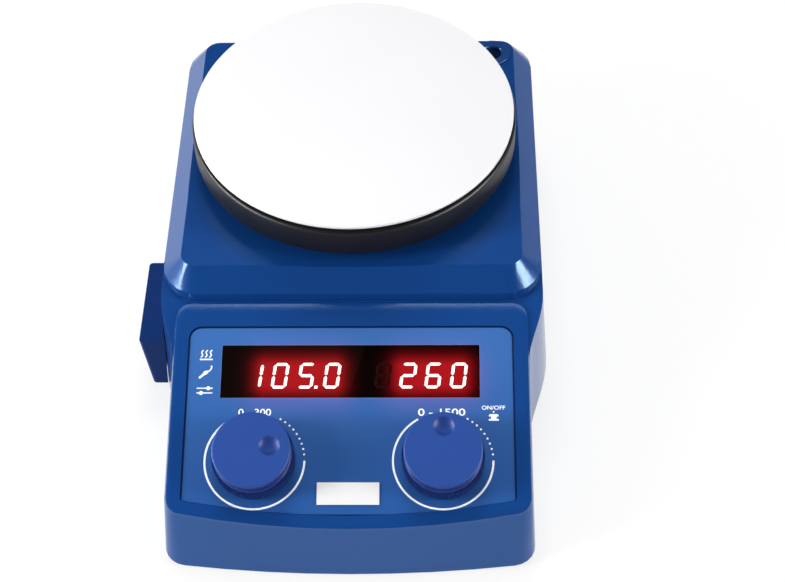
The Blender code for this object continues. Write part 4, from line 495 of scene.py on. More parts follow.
def window_acrylic():
    finish = Finish("window_acrylic", Emission_Strength=1.0, Specular_IOR_Level=0.25)
    x, v, _ = face_axes(finish)
    # Painted reflection: the window's colour is a touch lighter left of one slanting edge.
    reflected_side = (REFLECTION_EDGE_X + REFLECTION_EDGE_SLANT * (v - FIGURE_MIDDLE_V) - x).smooth(-REFLECTION_EDGE_BLUR, REFLECTION_EDGE_BLUR)
    finish.feed("Base Color", finish.mix(reflected_side, (0.0020, 0.0006, 0.0006), (0.0045, 0.0022, 0.0018)))
    glow = finish.mix(spill(finish, WIDE_GLOW), (0.0, 0.0, 0.0), (0.10, 0.001, 0.002))
    finish.feed("Emission Color", finish.mix(spill(finish, CLOSE_GLOW), glow, (0.43, 0.008, 0.012)))
    finish.feed("Roughness", 0.10 + 0.04 * finish.grain(4 * MM))
    return finish.done()


FINISHES["overlay_film"] = overlay_film()
FINISHES["window_acrylic"] = window_acrylic()
print("window nodes:", len(FINISHES["window_acrylic"].node_tree.nodes))

# %% [markdown]
# Each CAD node takes the finish of its slot in the record. Nodes that a finer mesh replaces
# further down are hidden then, and the rest show as they are.

# %% Finish every CAD node by its slot
for part in frame["record"]["subparts"]:
    node = NODES[part["node"]]
    node.data.materials.clear()
    node.data.materials.append(FINISHES[part["material_slot"]])

# %% [markdown]
# A few helpers turn a bmesh into a finished piece. A piece's object stays at the origin, with
# its place in its mesh, so that patterns read the same metres everywhere.

# %% Helpers for pieces
SMOOTH_ANGLE = math.radians(38)


def to_mesh(builder, name, matrix=None, recalculate=True):
    """A mesh from a bmesh, moved into place."""
    if recalculate:
        bmesh.ops.recalc_face_normals(builder, faces=builder.faces)
    mesh = bpy.data.meshes.new(name)
    builder.to_mesh(mesh)
    builder.free()
    if matrix is not None:
        mesh.transform(matrix)
    return mesh


def piece(name, mesh, slot, body, replaced=(), sharp_angle=SMOOTH_ANGLE):
    """An object at the origin with its finish and its body; the CAD nodes it stands for are hidden."""
    made = bpy.data.objects.new(name, mesh)
    bpy.context.scene.collection.objects.link(made)
    mesh.materials.clear()
    mesh.materials.append(FINISHES[slot])
    mesh.shade_smooth()
    mesh.set_sharp_from_angle(angle=sharp_angle)
    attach(made, body)
    if replaced:
        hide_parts(*replaced)
    return made


def lathe(profile, steps):
    """A turned bmesh round Z: the profile is (radius, height) and runs down the outer side."""
    builder = bmesh.new()
    rings = []
    for radius, height in profile:
        count = steps if radius > 0 else 1
        ring = []
        for i in range(count):
            angle = 2 * math.pi * i / steps
            ring.append(builder.verts.new((radius * math.cos(angle), radius * math.sin(angle), height)))
        rings.append(ring)
    pairs = list(zip(rings, rings[1:]))
    if profile[0][0] > 0 or profile[-1][0] > 0:
        pairs.append((rings[-1], rings[0]))
    for upper, lower in pairs:
        for i in range(steps):
            j = (i + 1) % steps
            left = [upper[i % len(upper)], lower[i % len(lower)]]
            right = [lower[j % len(lower)], upper[j % len(upper)]]
            builder.faces.new(list(dict.fromkeys(left + right)))
    return builder


def quarter(center_radius, center_height, radius, start, end, steps):
    """Points of a round edge on a profile, from one angle to another, in degrees."""
    points = []
    for i in range(steps + 1):
        angle = math.radians(start + (end - start) * i / steps)
        points.append((center_radius + radius * math.cos(angle), center_height + radius * math.sin(angle)))
    return points


# %% [markdown]
# The housing is a casting, so no edge on it is sharp. Its CAD solid has the right faces but
# crisp edges. A copy of that mesh is merged, its flat faces are made whole again, and a Bevel
# modifier rounds the edges by their weight: widest at the foot of the front chamfer, narrow at
# the other edges, finest round the bottom rim, and none on the lower edges inside. Weighted
# normals then keep the flat faces flat.

# %% Rounded housing
HOUSING_ROUND = 3.0 * MM
EDGE_SHARE = 0.30
FINE_SHARE = 0.08
CHAMFER_FOOT_Z = 54.8 * MM
CHAMFER_SPARE = 0.3 * MM
CREASE_TILT = 0.3
MERGE = 0.002 * MM
COPLANAR = math.radians(0.6)
CREASE = math.radians(24)
RIM_Z = 3.0 * MM


def cad_copy(node):
    """A merged copy of a CAD node's mesh, with its flat faces whole again."""
    builder = bmesh.new()
    builder.from_mesh(NODES[node].data)
    bmesh.ops.remove_doubles(builder, verts=builder.verts, dist=MERGE)
    bmesh.ops.dissolve_limit(
        builder, angle_limit=COPLANAR, verts=builder.verts, edges=builder.edges, use_dissolve_boundaries=False
    )
    return builder


def edge_share(edge, center):
    """An edge's share of the full rounding: all at the front chamfer's foot, less elsewhere."""
    if len(edge.link_faces) != 2 or edge.calc_face_angle(0.0) < CREASE:
        return 0.0
    normals = [face.normal for face in edge.link_faces]
    middle = (edge.verts[0].co + edge.verts[1].co) / 2
    if min(normal.z for normal in normals) < -0.5:
        outside = middle.z < RIM_Z and (normals[0] + normals[1]).dot(middle - center) > 0
        return FINE_SHARE if outside else 0.0
    at_foot = abs(middle.z - CHAMFER_FOOT_Z) < CHAMFER_SPARE
    if at_foot and abs(normals[0].z + normals[1].z) > CREASE_TILT:
        facing = max(0.0, -(normals[0] + normals[1]).normalized().y)
        return EDGE_SHARE + (1.0 - EDGE_SHARE) * facing**2
    return EDGE_SHARE


housing = cad_copy("upper_housing")
weights = housing.edges.layers.float.new("bevel_weight_edge")
low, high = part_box("upper_housing")
middle = (low + high) / 2
for edge in housing.edges:
    edge[weights] = edge_share(edge, middle)
rounded = sum(edge[weights] > 0 for edge in housing.edges)
print("housing faces:", len(housing.faces), "rounded edges:", rounded)
mesh = to_mesh(housing, "painted_housing", recalculate=False)
casting = piece("painted_housing", mesh, "body_paint", "case", ("upper_housing",))
rounding = casting.modifiers.new("rounding", "BEVEL")
rounding.limit_method = "WEIGHT"
rounding.width = HOUSING_ROUND
rounding.segments = 3
flatness = casting.modifiers.new("flatness", "WEIGHTED_NORMAL")
flatness.keep_sharp = True
print("housing box:", [round(c / MM, 1) for c in (*low, *high)])

# %% [markdown]
# The plate on top is a stack: the white cover, a black edge of the heating plate that shows as a
# thin dark line, and the enamelled pan. All three are turned shapes. Their radii and heights are
# read from the CAD nodes, and the finer profiles add the small round edges.

# %% Turned plate
PLATE_STEPS = 160
COVER_EDGE = 0.45 * MM
PAN_EDGE = 1.3 * MM
PAN_WALL = 2.2 * MM
PAN_FLOOR = 1.5 * MM
PAN_HOLE_RADIUS = 5.0 * MM


def disc_of(node):
    """The middle, radius, lowest and highest height of an upright round CAD node."""
    low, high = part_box(node)
    center = (low + high) / 2
    return Vector((center.x, center.y, 0)), (high.x - low.x) / 2, low.z, high.z


center, radius, low_z, high_z = disc_of("plate_cover")
profile = [(0.0, high_z)]
profile += quarter(radius - COVER_EDGE, high_z - COVER_EDGE, COVER_EDGE, 90, 0, 4)
profile += [(radius, low_z), (0.0, low_z)]
mesh = to_mesh(lathe(profile, PLATE_STEPS), "plate_face", Matrix.Translation(center))
piece("plate_face", mesh, "white_ceramic", "case", ("plate_cover",))

center, radius, low_z, high_z = disc_of("heating_plate")
profile = [(0.0, high_z), (radius, high_z), (radius, low_z), (0.0, low_z)]
mesh = to_mesh(lathe(profile, PLATE_STEPS), "plate_casting", Matrix.Translation(center))
piece("plate_casting", mesh, "dark_casting", "case", ("heating_plate",))

center, radius, low_z, high_z = disc_of("heater_pan")
inner = radius - PAN_WALL
profile = quarter(radius - PAN_EDGE, high_z - PAN_EDGE, PAN_EDGE, 90, 0, 6)
profile += quarter(radius - PAN_EDGE / 2, low_z + PAN_EDGE / 2, PAN_EDGE / 2, 0, -90, 3)
floor_z = low_z + PAN_FLOOR
profile += [(PAN_HOLE_RADIUS, low_z), (PAN_HOLE_RADIUS, floor_z), (inner, floor_z), (inner, high_z)]
mesh = to_mesh(lathe(profile, PLATE_STEPS), "enamel_pan", Matrix.Translation(center))
piece("enamel_pan", mesh, "dark_enamel", "case", ("heater_pan",))
print("plate radius:", round(radius / MM, 2), "pan top:", round(high_z / MM, 2))

# %% [markdown]
# A knob is a cap with a flat satin face, a finger dimple near its rim, and a skirt with fine
# grip ribs. The cap's face is a polar grid, so the dimple can be pressed into it by moving
# vertices. The ribs repeat round the skirt, which is work for Geometry Nodes: one small bar on
# each point of a circle, realized, and joined to the cap.

# %% Knob caps with grip ribs
KNOB_STEPS = 120
KNOB_FACE_RINGS = 60
KNOB_EDGE = 0.8 * MM
KNOB_BAND = 5.9 * MM
KNOB_NARROWING = 0.9 * MM
KNOB_SHELL = 1.8 * MM
KNOB_ROOF = 2.2 * MM
KNOB_POST_RADIUS = 5.2 * MM
KNOB_POST_LIFT = 2.3 * MM
KNOB_BORE_RADIUS = 3.1 * MM
KNOB_BORE_SPARE = 0.3 * MM
RIB_COUNT = 96
RIB_RADIUS = 0.27 * MM
RIB_SIDES = 8
DIMPLE_RADIUS = 4.1 * MM
DIMPLE_DEPTH = 1.7 * MM
DIMPLE_HOLLOW = 0.7
HEAT_DIMPLE = (7.3 * MM, math.radians(12))
SPEED_DIMPLE = (9.4 * MM, math.radians(88))


def link_wire(tree, wire, socket):
    """Link a Wire to a socket that was made already."""
    tree.links.new(wire.socket, socket)


def geometry_tree(name, values):
    """A Geometry Nodes tree with a geometry input and named numbers, and its group nodes."""
    tree = bpy.data.node_groups.new(name, "GeometryNodeTree")
    tree.interface.new_socket("Geometry", in_out="INPUT", socket_type="NodeSocketGeometry")
    for label, value in values.items():
        kind = "NodeSocketInt" if isinstance(value, int) else "NodeSocketFloat"
        tree.interface.new_socket(label, in_out="INPUT", socket_type=kind)
    tree.interface.new_socket("Geometry", in_out="OUTPUT", socket_type="NodeSocketGeometry")
    source = tree.nodes.new("NodeGroupInput")
    wires = {label: Wire(tree, source.outputs[label]) for label in ("Geometry", *values)}
    return tree, wires


def close_tree(tree, geometry, material):
    """End a tree with Realize Instances and Set Material."""
    real = Wire(tree, add_node(tree, "GeometryNodeRealizeInstances", None, {0: geometry}).outputs[0])
    dressed = add_node(tree, "GeometryNodeSetMaterial", None, {"Geometry": real, "Material": material})
    sink = tree.nodes.new("NodeGroupOutput")
    tree.links.new(dressed.outputs[0], sink.inputs[0])


def grown(name, mesh, tree, values):
    """Run a tree on a mesh and return the result as a plain mesh."""
    carrier = bpy.data.objects.new(name + "_carrier", mesh)
    bpy.context.scene.collection.objects.link(carrier)
    modifier = carrier.modifiers.new(name, "NODES")
    modifier.node_group = tree
    for item in tree.interface.items_tree:
        if item.in_out == "INPUT" and item.name in values:
            modifier[item.identifier] = values[item.name]
    depsgraph = bpy.context.evaluated_depsgraph_get()
    result = bpy.data.meshes.new_from_object(carrier.evaluated_get(depsgraph))
    carrier.modifiers.remove(modifier)
    bpy.data.objects.remove(carrier)
    return result


def rib_tree(material):
    """Small upright bars, evenly round a circle, joined to the geometry that comes in."""
    values = {"Ribs": RIB_COUNT, "Circle": 1.0, "Rib Radius": RIB_RADIUS, "Rib Height": 1.0, "Lift": 0.0}
    tree, wires = geometry_tree("grip_ribs", values)
    inputs = {"Vertices": wires["Ribs"], "Radius": wires["Circle"]}
    circle = add_node(tree, "GeometryNodeMeshCircle", None, inputs)
    inputs = {"Vertices": RIB_SIDES, "Radius": wires["Rib Radius"], "Depth": wires["Rib Height"]}
    bar = add_node(tree, "GeometryNodeMeshCylinder", None, inputs)
    inputs = {"Points": Wire(tree, circle.outputs[0]), "Instance": Wire(tree, bar.outputs[0])}
    ribs = add_node(tree, "GeometryNodeInstanceOnPoints", None, inputs)
    lift = add_node(tree, "ShaderNodeCombineXYZ", None, {"Z": wires["Lift"]})
    inputs = {"Geometry": Wire(tree, ribs.outputs[0]), "Translation": Wire(tree, lift.outputs[0])}
    raised = add_node(tree, "GeometryNodeTransform", None, inputs)
    join = tree.nodes.new("GeometryNodeJoinGeometry")
    link_wire(tree, wires["Geometry"], join.inputs[0])
    tree.links.new(raised.outputs[0], join.inputs[0])
    close_tree(tree, Wire(tree, join.outputs[0]), material)
    return tree


def knob_cap(height, radius):
    """The cap of a knob, open below round its post, its base at height 0."""
    neck = radius - KNOB_NARROWING
    band_z = height - KNOB_BAND
    roof = height - KNOB_ROOF
    inner = radius - KNOB_SHELL
    flat = neck - KNOB_EDGE
    profile = [(flat * i / KNOB_FACE_RINGS, height) for i in range(KNOB_FACE_RINGS)]
    profile += quarter(flat, height - KNOB_EDGE, KNOB_EDGE, 90, 0, 5)
    profile += quarter(radius - 2 * KNOB_NARROWING, band_z - KNOB_NARROWING, KNOB_NARROWING, 90, 0, 3)
    profile += [(radius - KNOB_NARROWING, 0.0), (inner, 0.0), (inner, roof), (KNOB_POST_RADIUS, roof)]
    profile += [(KNOB_POST_RADIUS, KNOB_POST_LIFT), (KNOB_BORE_RADIUS, KNOB_POST_LIFT)]
    profile += [(KNOB_BORE_RADIUS, roof + KNOB_BORE_SPARE), (0.0, roof + KNOB_BORE_SPARE)]
    return lathe(profile, KNOB_STEPS)


def press_dimple(builder, height, offset, angle):
    """Lower the face of a cap into a round dimple."""
    spot = Vector((offset * math.cos(angle), offset * math.sin(angle), height))
    for vertex in builder.verts:
        if height - vertex.co.z < MERGE:
            share = (vertex.co - spot).length / DIMPLE_RADIUS
            if share < 1:
                vertex.co.z -= DIMPLE_DEPTH * (1 - share * share) ** DIMPLE_HOLLOW


RIBS = rib_tree(FINISHES["knob_plastic"])
for name, side, dimple in (("heat", -1, HEAT_DIMPLE), ("speed", 1, SPEED_DIMPLE)):
    low, high = on_face(f"{name}_knob")
    radius = (high.x - low.x) / 2
    height = high.z - low.z
    cap = knob_cap(height, radius)
    press_dimple(cap, height, *dimple)
    rib_height = height - KNOB_BAND - KNOB_NARROWING
    values = {
        "Ribs": RIB_COUNT, "Circle": radius - RIB_RADIUS, "Rib Radius": RIB_RADIUS,
        "Rib Height": rib_height, "Lift": rib_height / 2,
    }
    mesh = grown(f"{name}_cap", to_mesh(cap, f"{name}_cap"), RIBS, values)
    mesh.transform(FACE @ Matrix.Translation((side * KNOB_X, KNOB_ROW, low.z)))
    piece(f"{name}_cap", mesh, "knob_plastic", f"{name}_turn", (f"{name}_knob",))
    print(name, "knob radius:", round(radius / MM, 2), "height:", round(height / MM, 2))

# %% [markdown]
# The segments of the figures are flat bars with pointed ends, set along the sides of a slanted
# figure eight. Lit ones shine, and the unlit rest of the fourth speed figure shows as a faint
# shape, so both use the same table of which bars make which figure.

# %% Lit and unlit segments
BAR_THICKNESS = 0.05 * MM
BAR_LIFT = 0.01 * MM
BAR_FACES = 8
FIGURES = {"0": "abcdef", "1": "bc", "2": "abged", "5": "afgcd", "6": "afgedc"}
HALF = STROKE / 2
LEFT, RIGHT = HALF, FIGURE_WIDTH - HALF
BOTTOM, MIDDLE, TOP = HALF, FIGURE_HEIGHT / 2, FIGURE_HEIGHT - HALF
BAR_ENDS = {
    "a": ((LEFT, TOP), (RIGHT, TOP)), "b": ((RIGHT, TOP), (RIGHT, MIDDLE)),
    "c": ((RIGHT, MIDDLE), (RIGHT, BOTTOM)), "d": ((LEFT, BOTTOM), (RIGHT, BOTTOM)),
    "e": ((LEFT, MIDDLE), (LEFT, BOTTOM)),
    "f": ((LEFT, TOP), (LEFT, MIDDLE)), "g": ((LEFT, MIDDLE), (RIGHT, MIDDLE)),
}


def segment_light(name, color, strength):
    """A finish that shines evenly, with a faint grain in it."""
    finish = Finish(name, Emission_Strength=strength, Roughness=0.3, Specular_IOR_Level=0.1)
    grain = finish.grain(0.6 * MM)
    finish.feed("Emission Color", finish.mix(0.25 * grain, color, tuple(0.8 * c for c in color)))
    finish.feed("Base Color", color)
    return finish.done()


FINISHES["lit_segment"] = segment_light("lit_segment", (1.0, 0.83, 0.76), 0.95)
# Painted light: the unlit segments also glow, very faintly, so their shape shows.
FINISHES["dark_segment"] = segment_light("dark_segment", (0.012, 0.002, 0.002), 0.3)


def add_plate(builder, outline, low, high):
    """Add a flat plate with an outline, between two heights."""
    lower = [builder.verts.new((x, y, low)) for x, y in outline]
    upper = [builder.verts.new((x, y, high)) for x, y in outline]
    builder.faces.new(list(reversed(lower)))
    builder.faces.new(upper)
    for i in range(len(outline)):
        j = (i + 1) % len(outline)
        builder.faces.new((lower[i], lower[j], upper[j], upper[i]))


def bar_outline(start, end):
    """A bar's outline: straight sides and pointed ends, a small gap short of its corners."""
    a, b = Vector(start), Vector(end)
    way = (b - a).normalized()
    across = Vector((-way.y, way.x)) * HALF
    a, b = a + way * SEGMENT_GAP, b - way * SEGMENT_GAP
    near, far = a + way * HALF, b - way * HALF
    return [a, near - across, far - across, b, far + across, near + across]


def place_bar(outline, x):
    """Lean a bar with its figure and put it in its cell."""
    return [(x + p.x + FIGURE_SLANT * p.y, FIGURE_LOW_V + p.y) for p in outline]


bar_low = on_face("display_window")[1].z + BAR_LIFT
lit, dark = bmesh.new(), bmesh.new()
for figure, x in HEAT_READING + SPEED_READING:
    for bar, ends in BAR_ENDS.items():
        if not figure or bar in FIGURES[figure]:
            group = lit if figure else dark
            add_plate(group, place_bar(bar_outline(*ends), x), bar_low, bar_low + BAR_THICKNESS)
point = [Vector((0, 0)), Vector((STROKE, 0)), Vector((STROKE, STROKE)), Vector((0, STROKE))]
add_plate(lit, place_bar(point, POINT_X), bar_low, bar_low + BAR_THICKNESS)
print("bars:", len(lit.faces) // BAR_FACES, "lit and", len(dark.faces) // BAR_FACES, "dark")


def laid_on(name, mesh, slot, finish_name):
    """A thin piece on the case's body that shows a finish of its own instead of its slot's."""
    made = piece(name, mesh, slot, "case")
    made.data.materials.clear()
    made.data.materials.append(FINISHES[finish_name])


laid_on("lit_segments", to_mesh(lit, "lit_segments", FACE), "window_acrylic", "lit_segment")
laid_on("dark_segments", to_mesh(dark, "dark_segments", FACE), "window_acrylic", "dark_segment")

# %% [markdown]
# White ink is printed on the overlay: round each knob a thin ring that turns into a row of dots
# near its upper right, plain numbers above, and small signs at the sides. Ring and dots follow
# one circle, so a Geometry Nodes tree draws both: the ring is an arc swept with a flat strip,
# and the dots are small discs on the points of a second arc.

# %% Rings and dots round the knobs
INK = 0.03 * MM
RING_RADIUS = 19.7 * MM
RING_WIDTH = 0.80 * MM
RING_START = math.radians(120)
RING_SWEEP = math.radians(240)
DOT_COUNT = 9
DOT_RADIUS = 0.42 * MM
DOT_START = math.radians(7.4)
DOT_SWEEP = math.radians(53)
RING_STEPS = 97
DOT_SIDES = 16


def white_ink():
    # The ink's faint white emission is painted light that lifts the print to a clean white.
    finish = Finish("white_ink", Emission_Strength=0.12, Emission_Color=(1.0, 1.0, 1.0))
    grain = finish.grain(0.4 * MM, 2.0)
    finish.feed("Base Color", finish.mix(grain, (0.88, 0.94, 0.99), (0.92, 0.97, 1.0)))
    finish.feed("Roughness", 0.40 + 0.1 * grain)
    return finish.done()


FINISHES["white_ink"] = white_ink()


def ring_tree(material):
    """A swept arc and a row of discs on a second arc, both round the origin."""
    values = {
        "Radius": 1.0, "Ring Width": 1.0, "Ink": INK, "Ring Start": 0.0, "Ring Sweep": 1.0,
        "Dots": DOT_COUNT, "Dot Radius": 1.0, "Dot Start": 0.0, "Dot Sweep": 1.0,
    }
    tree, wires = geometry_tree("dial_print", values)

    def arc_of(count, start, sweep):
        inputs = {"Resolution": count, "Radius": wires["Radius"], "Start Angle": start, "Sweep Angle": sweep}
        return Wire(tree, add_node(tree, "GeometryNodeCurveArc", {"mode": "RADIUS"}, inputs).outputs[0])

    strip = add_node(
        tree, "GeometryNodeCurvePrimitiveQuadrilateral", None, {0: wires["Ring Width"], 1: wires["Ink"]}
    )
    ring = arc_of(RING_STEPS, wires["Ring Start"], wires["Ring Sweep"])
    inputs = {"Curve": ring, "Profile Curve": Wire(tree, strip.outputs[0]), "Fill Caps": True}
    swept = add_node(tree, "GeometryNodeCurveToMesh", None, inputs)
    row = arc_of(wires["Dots"], wires["Dot Start"], wires["Dot Sweep"])
    inputs = {"Vertices": DOT_SIDES, "Radius": wires["Dot Radius"], "Depth": wires["Ink"]}
    disc = add_node(tree, "GeometryNodeMeshCylinder", None, inputs)
    inputs = {"Points": row, "Instance": Wire(tree, disc.outputs[0])}
    dots = add_node(tree, "GeometryNodeInstanceOnPoints", None, inputs)
    join = tree.nodes.new("GeometryNodeJoinGeometry")
    tree.links.new(swept.outputs[0], join.inputs[0])
    tree.links.new(dots.outputs[0], join.inputs[0])
    close_tree(tree, Wire(tree, join.outputs[0]), material)
    return tree


DIAL_PRINT = ring_tree(FINISHES["white_ink"])
dial_values = {
    "Radius": RING_RADIUS, "Ring Width": RING_WIDTH, "Ink": INK,
    "Ring Start": RING_START, "Ring Sweep": RING_SWEEP,
    "Dots": DOT_COUNT, "Dot Radius": DOT_RADIUS, "Dot Start": DOT_START, "Dot Sweep": DOT_SWEEP,
}


for name, side in (("heat", -1), ("speed", 1)):
    mesh = grown(f"{name}_dial_print", bpy.data.meshes.new(f"{name}_dial_print"), DIAL_PRINT, dial_values)
    mesh.transform(FACE @ Matrix.Translation((side * KNOB_X, KNOB_ROW, PRINT_H + INK)))
    laid_on(f"{name}_dial_print", mesh, "overlay_film", "white_ink")
    print(name, "dial faces:", len(mesh.polygons))

# %% [markdown]
# The numbers are text objects. A text is made a mesh first, then fitted into the box where it
# stands, and only then moved onto the face. Numbers and ON/OFF are all the lettering there is.

# %% Plain numbers and ON/OFF
TEXT_BOLDNESS = 0.014
RANGE_LOW, RANGE_HIGH = 46.7 * MM, 49.7 * MM


def words(name, body, left, right, low, high):
    """Text fitted into a box on the console's face."""
    curve = bpy.data.curves.new(name, "FONT")
    curve.body = body
    curve.extrude = INK / 2
    curve.offset = TEXT_BOLDNESS
    holder = bpy.data.objects.new(name + "_text", curve)
    bpy.context.scene.collection.objects.link(holder)
    depsgraph = bpy.context.evaluated_depsgraph_get()
    mesh = bpy.data.meshes.new_from_object(holder.evaluated_get(depsgraph))
    bpy.data.objects.remove(holder)
    xs = [vertex.co.x for vertex in mesh.vertices]
    ys = [vertex.co.y for vertex in mesh.vertices]
    wide, tall = (right - left) / (max(xs) - min(xs)), (high - low) / (max(ys) - min(ys))
    mesh.transform(
        FACE
        @ Matrix.Translation((left, low, PRINT_H + INK))
        @ Matrix.Diagonal((wide, tall, 1, 1))
        @ Matrix.Translation((-min(xs), -min(ys), 0))
    )
    laid_on(name, mesh, "overlay_film", "white_ink")


words("heat_range_print", "0 - 300", -44.3 * MM, -31.2 * MM, RANGE_LOW, RANGE_HIGH)
words("speed_range_print", "0 - 1500", 27.2 * MM, 46.0 * MM, RANGE_LOW, RANGE_HIGH)
words("on_off_print", "ON/OFF", 52.5 * MM, 61.8 * MM, 49.2 * MM, 50.9 * MM)

# %% [markdown]
# The small signs are drawn as plates and as strokes: three wavy lines over a bar for heat, a
# probe on its lead, a pair of sliders, and a push button seen from the side.

# %% Signs at the sides of the overlay
SIGN_X = -58.2 * MM
HEAT_SIGN_V = 72.6 * MM
PROBE_SIGN_V = 65.0 * MM
SLIDER_SIGN_V = 57.4 * MM
PUSH_SIGN_X = 57.2 * MM
PUSH_SIGN_V = 45.6 * MM
SIGN_LOW, SIGN_HIGH = PRINT_H + INK / 2, PRINT_H + 1.5 * INK


def add_stroke(builder, points, width):
    """Add a flat stroke of even width along points."""
    points = [Vector(p) for p in points]
    left, right = [], []
    for i, point in enumerate(points):
        way = (points[min(i + 1, len(points) - 1)] - points[max(i - 1, 0)]).normalized()
        across = Vector((-way.y, way.x)) * width / 2
        left.append(point + across)
        right.append(point - across)
    add_plate(builder, right + list(reversed(left)), SIGN_LOW, SIGN_HIGH)


def add_disc(builder, x, v, radius, steps=16):
    """Add a flat round spot."""
    outline = []
    for i in range(steps):
        angle = 2 * math.pi * i / steps
        outline.append((x + radius * math.cos(angle), v + radius * math.sin(angle)))
    add_plate(builder, outline, SIGN_LOW, SIGN_HIGH)


def heat_sign(builder):
    """Three rising waves over a bar."""
    pitch, tall, swing = 1.75 * MM, 3.1 * MM, 0.46 * MM
    for i in (-1, 0, 1):
        points = []
        for k in range(13):
            share = k / 12
            x = SIGN_X + i * pitch + 1.1 * MM * (share - 0.5) + swing * math.sin(2 * math.pi * share)
            points.append((x, HEAT_SIGN_V - 1.0 * MM + tall * share))
        add_stroke(builder, points, 0.52 * MM)
    add_stroke(
        builder,
        [(SIGN_X - 2.6 * MM, HEAT_SIGN_V - 1.9 * MM), (SIGN_X + 2.6 * MM, HEAT_SIGN_V - 1.9 * MM)],
        0.62 * MM,
    )


def probe_sign(builder):
    """A stem, a grip and a bent lead."""
    x, v = SIGN_X, PROBE_SIGN_V
    add_stroke(builder, [(x - 2.5 * MM, v - 2.3 * MM), (x - 0.4 * MM, v - 0.4 * MM)], 0.9 * MM)
    grip = [(-1.1, -0.3), (-0.3, -1.1), (0.8, -0.4), (1.2, 0.6), (0.6, 1.0), (-0.6, 0.6)]
    add_plate(builder, [(x + a * MM, v + b * MM) for a, b in grip], SIGN_LOW, SIGN_HIGH)
    lead = [(0.8, 0.3), (1.6, 0.9), (2.2, 1.6), (2.4, 2.3), (2.2, 3.0)]
    add_stroke(builder, [(x + a * MM, v + b * MM) for a, b in lead], 0.55 * MM)


def slider_sign(builder):
    """Two lines, each with a round grip."""
    for rise, grip in ((1.0 * MM, 1.4 * MM), (-1.0 * MM, -1.4 * MM)):
        v = SLIDER_SIGN_V + rise
        add_stroke(builder, [(SIGN_X - 3.2 * MM, v), (SIGN_X + 3.2 * MM, v)], 0.45 * MM)
        add_disc(builder, SIGN_X + grip, v, 0.85 * MM)


def push_sign(builder):
    """A button from the side: cap, neck and base, with a dot above."""
    x, v = PUSH_SIGN_X, PUSH_SIGN_V
    add_disc(builder, x, v + 2.7 * MM, 0.35 * MM)
    cap = [(-1.9, 0.75), (1.9, 0.75), (1.9, 1.35), (1.5, 1.75), (-1.5, 1.75), (-1.9, 1.35)]
    neck = [(-1.1, -0.25), (1.1, -0.25), (1.1, 0.75), (-1.1, 0.75)]
    base = [(-2.0, -1.0), (2.0, -1.0), (2.0, -0.25), (-2.0, -0.25)]
    for outline in (cap, neck, base):
        add_plate(builder, [(x + a * MM, v + b * MM) for a, b in outline], SIGN_LOW, SIGN_HIGH)


signs = bmesh.new()
for draw in (heat_sign, probe_sign, slider_sign, push_sign):
    draw(signs)
laid_on("overlay_signs", to_mesh(signs, "overlay_signs", FACE), "overlay_film", "white_ink")

# %% [markdown]
# The bush for the support rod is turned, with a raised collar and a threaded bore. From above
# the thread shows as a stack of thin bright rings, so the bore's profile steps in and out once
# per turn of a 1.25 mm thread.

# %% Threaded bush in the deck
BUSH_STEPS = 64
BUSH_BORE_RADIUS = 4.0 * MM
THREAD_PITCH = 1.25 * MM
THREAD_DEPTH = 0.55 * MM
BUSH_SHANK_RADIUS = 6.4 * MM
COLLAR_EDGE = 0.25 * MM
COLLAR_HEIGHT = 0.6 * MM
BUSH_FLOOR = 2.0 * MM
LEAD_IN = 0.5 * MM
THREAD_ROOT, THREAD_CREST = 0.1 * THREAD_PITCH, 0.55 * THREAD_PITCH
BUSH_CREASE = math.radians(25)

center, radius, low_z, high_z = disc_of("support_rod_bush")
collar_z = high_z - COLLAR_HEIGHT
profile = quarter(radius - COLLAR_EDGE, high_z - COLLAR_EDGE, COLLAR_EDGE, 90, 0, 3)
profile += [(radius, collar_z), (BUSH_SHANK_RADIUS, collar_z), (BUSH_SHANK_RADIUS, low_z), (0.0, low_z)]
floor_z = low_z + BUSH_FLOOR
thread = [(BUSH_BORE_RADIUS + THREAD_DEPTH, floor_z)]
turns = int((high_z - LEAD_IN - floor_z) / THREAD_PITCH)
for i in range(turns):
    z = floor_z + i * THREAD_PITCH
    thread += [(BUSH_BORE_RADIUS + THREAD_DEPTH, z + THREAD_ROOT), (BUSH_BORE_RADIUS, z + THREAD_CREST)]
thread += [(BUSH_BORE_RADIUS, high_z - LEAD_IN), (BUSH_BORE_RADIUS + LEAD_IN, high_z)]
profile = [(0.0, floor_z), *thread, *profile]
mesh = to_mesh(lathe(profile, BUSH_STEPS), "rod_bush", Matrix.Translation(center))
piece("rod_bush", mesh, "bush_paint", "case", ("support_rod_bush",), BUSH_CREASE)
print("bush:", turns, "thread turns")

# %% [markdown]
# The floor is white paper, and the background is white too. What the camera sees of it comes
# from Is Camera Ray, with the object's shadow kept by mixing in a share of the lit floor.
# Reflections see the same white floor, so gloss has something to show, but it falls into shade
# towards the right, which keeps the deck's right chamfer deep.

# %% Floor and world
FLOOR_SIZE = 6.0
PAPER_WHITE = 1.03
SHADOW_SHARE = 0.25
SHADE_FROM, SHADE_TO, SHADE_SHARE = 0.10, 0.34, 0.75
ROOM_LIGHT = 0.36
HORIZON_LIGHT, HORIZON_FALL = 0.34, 0.30
CEILING_LIGHT, CEILING_FROM, CEILING_TO = 0.02, 0.02, 0.30


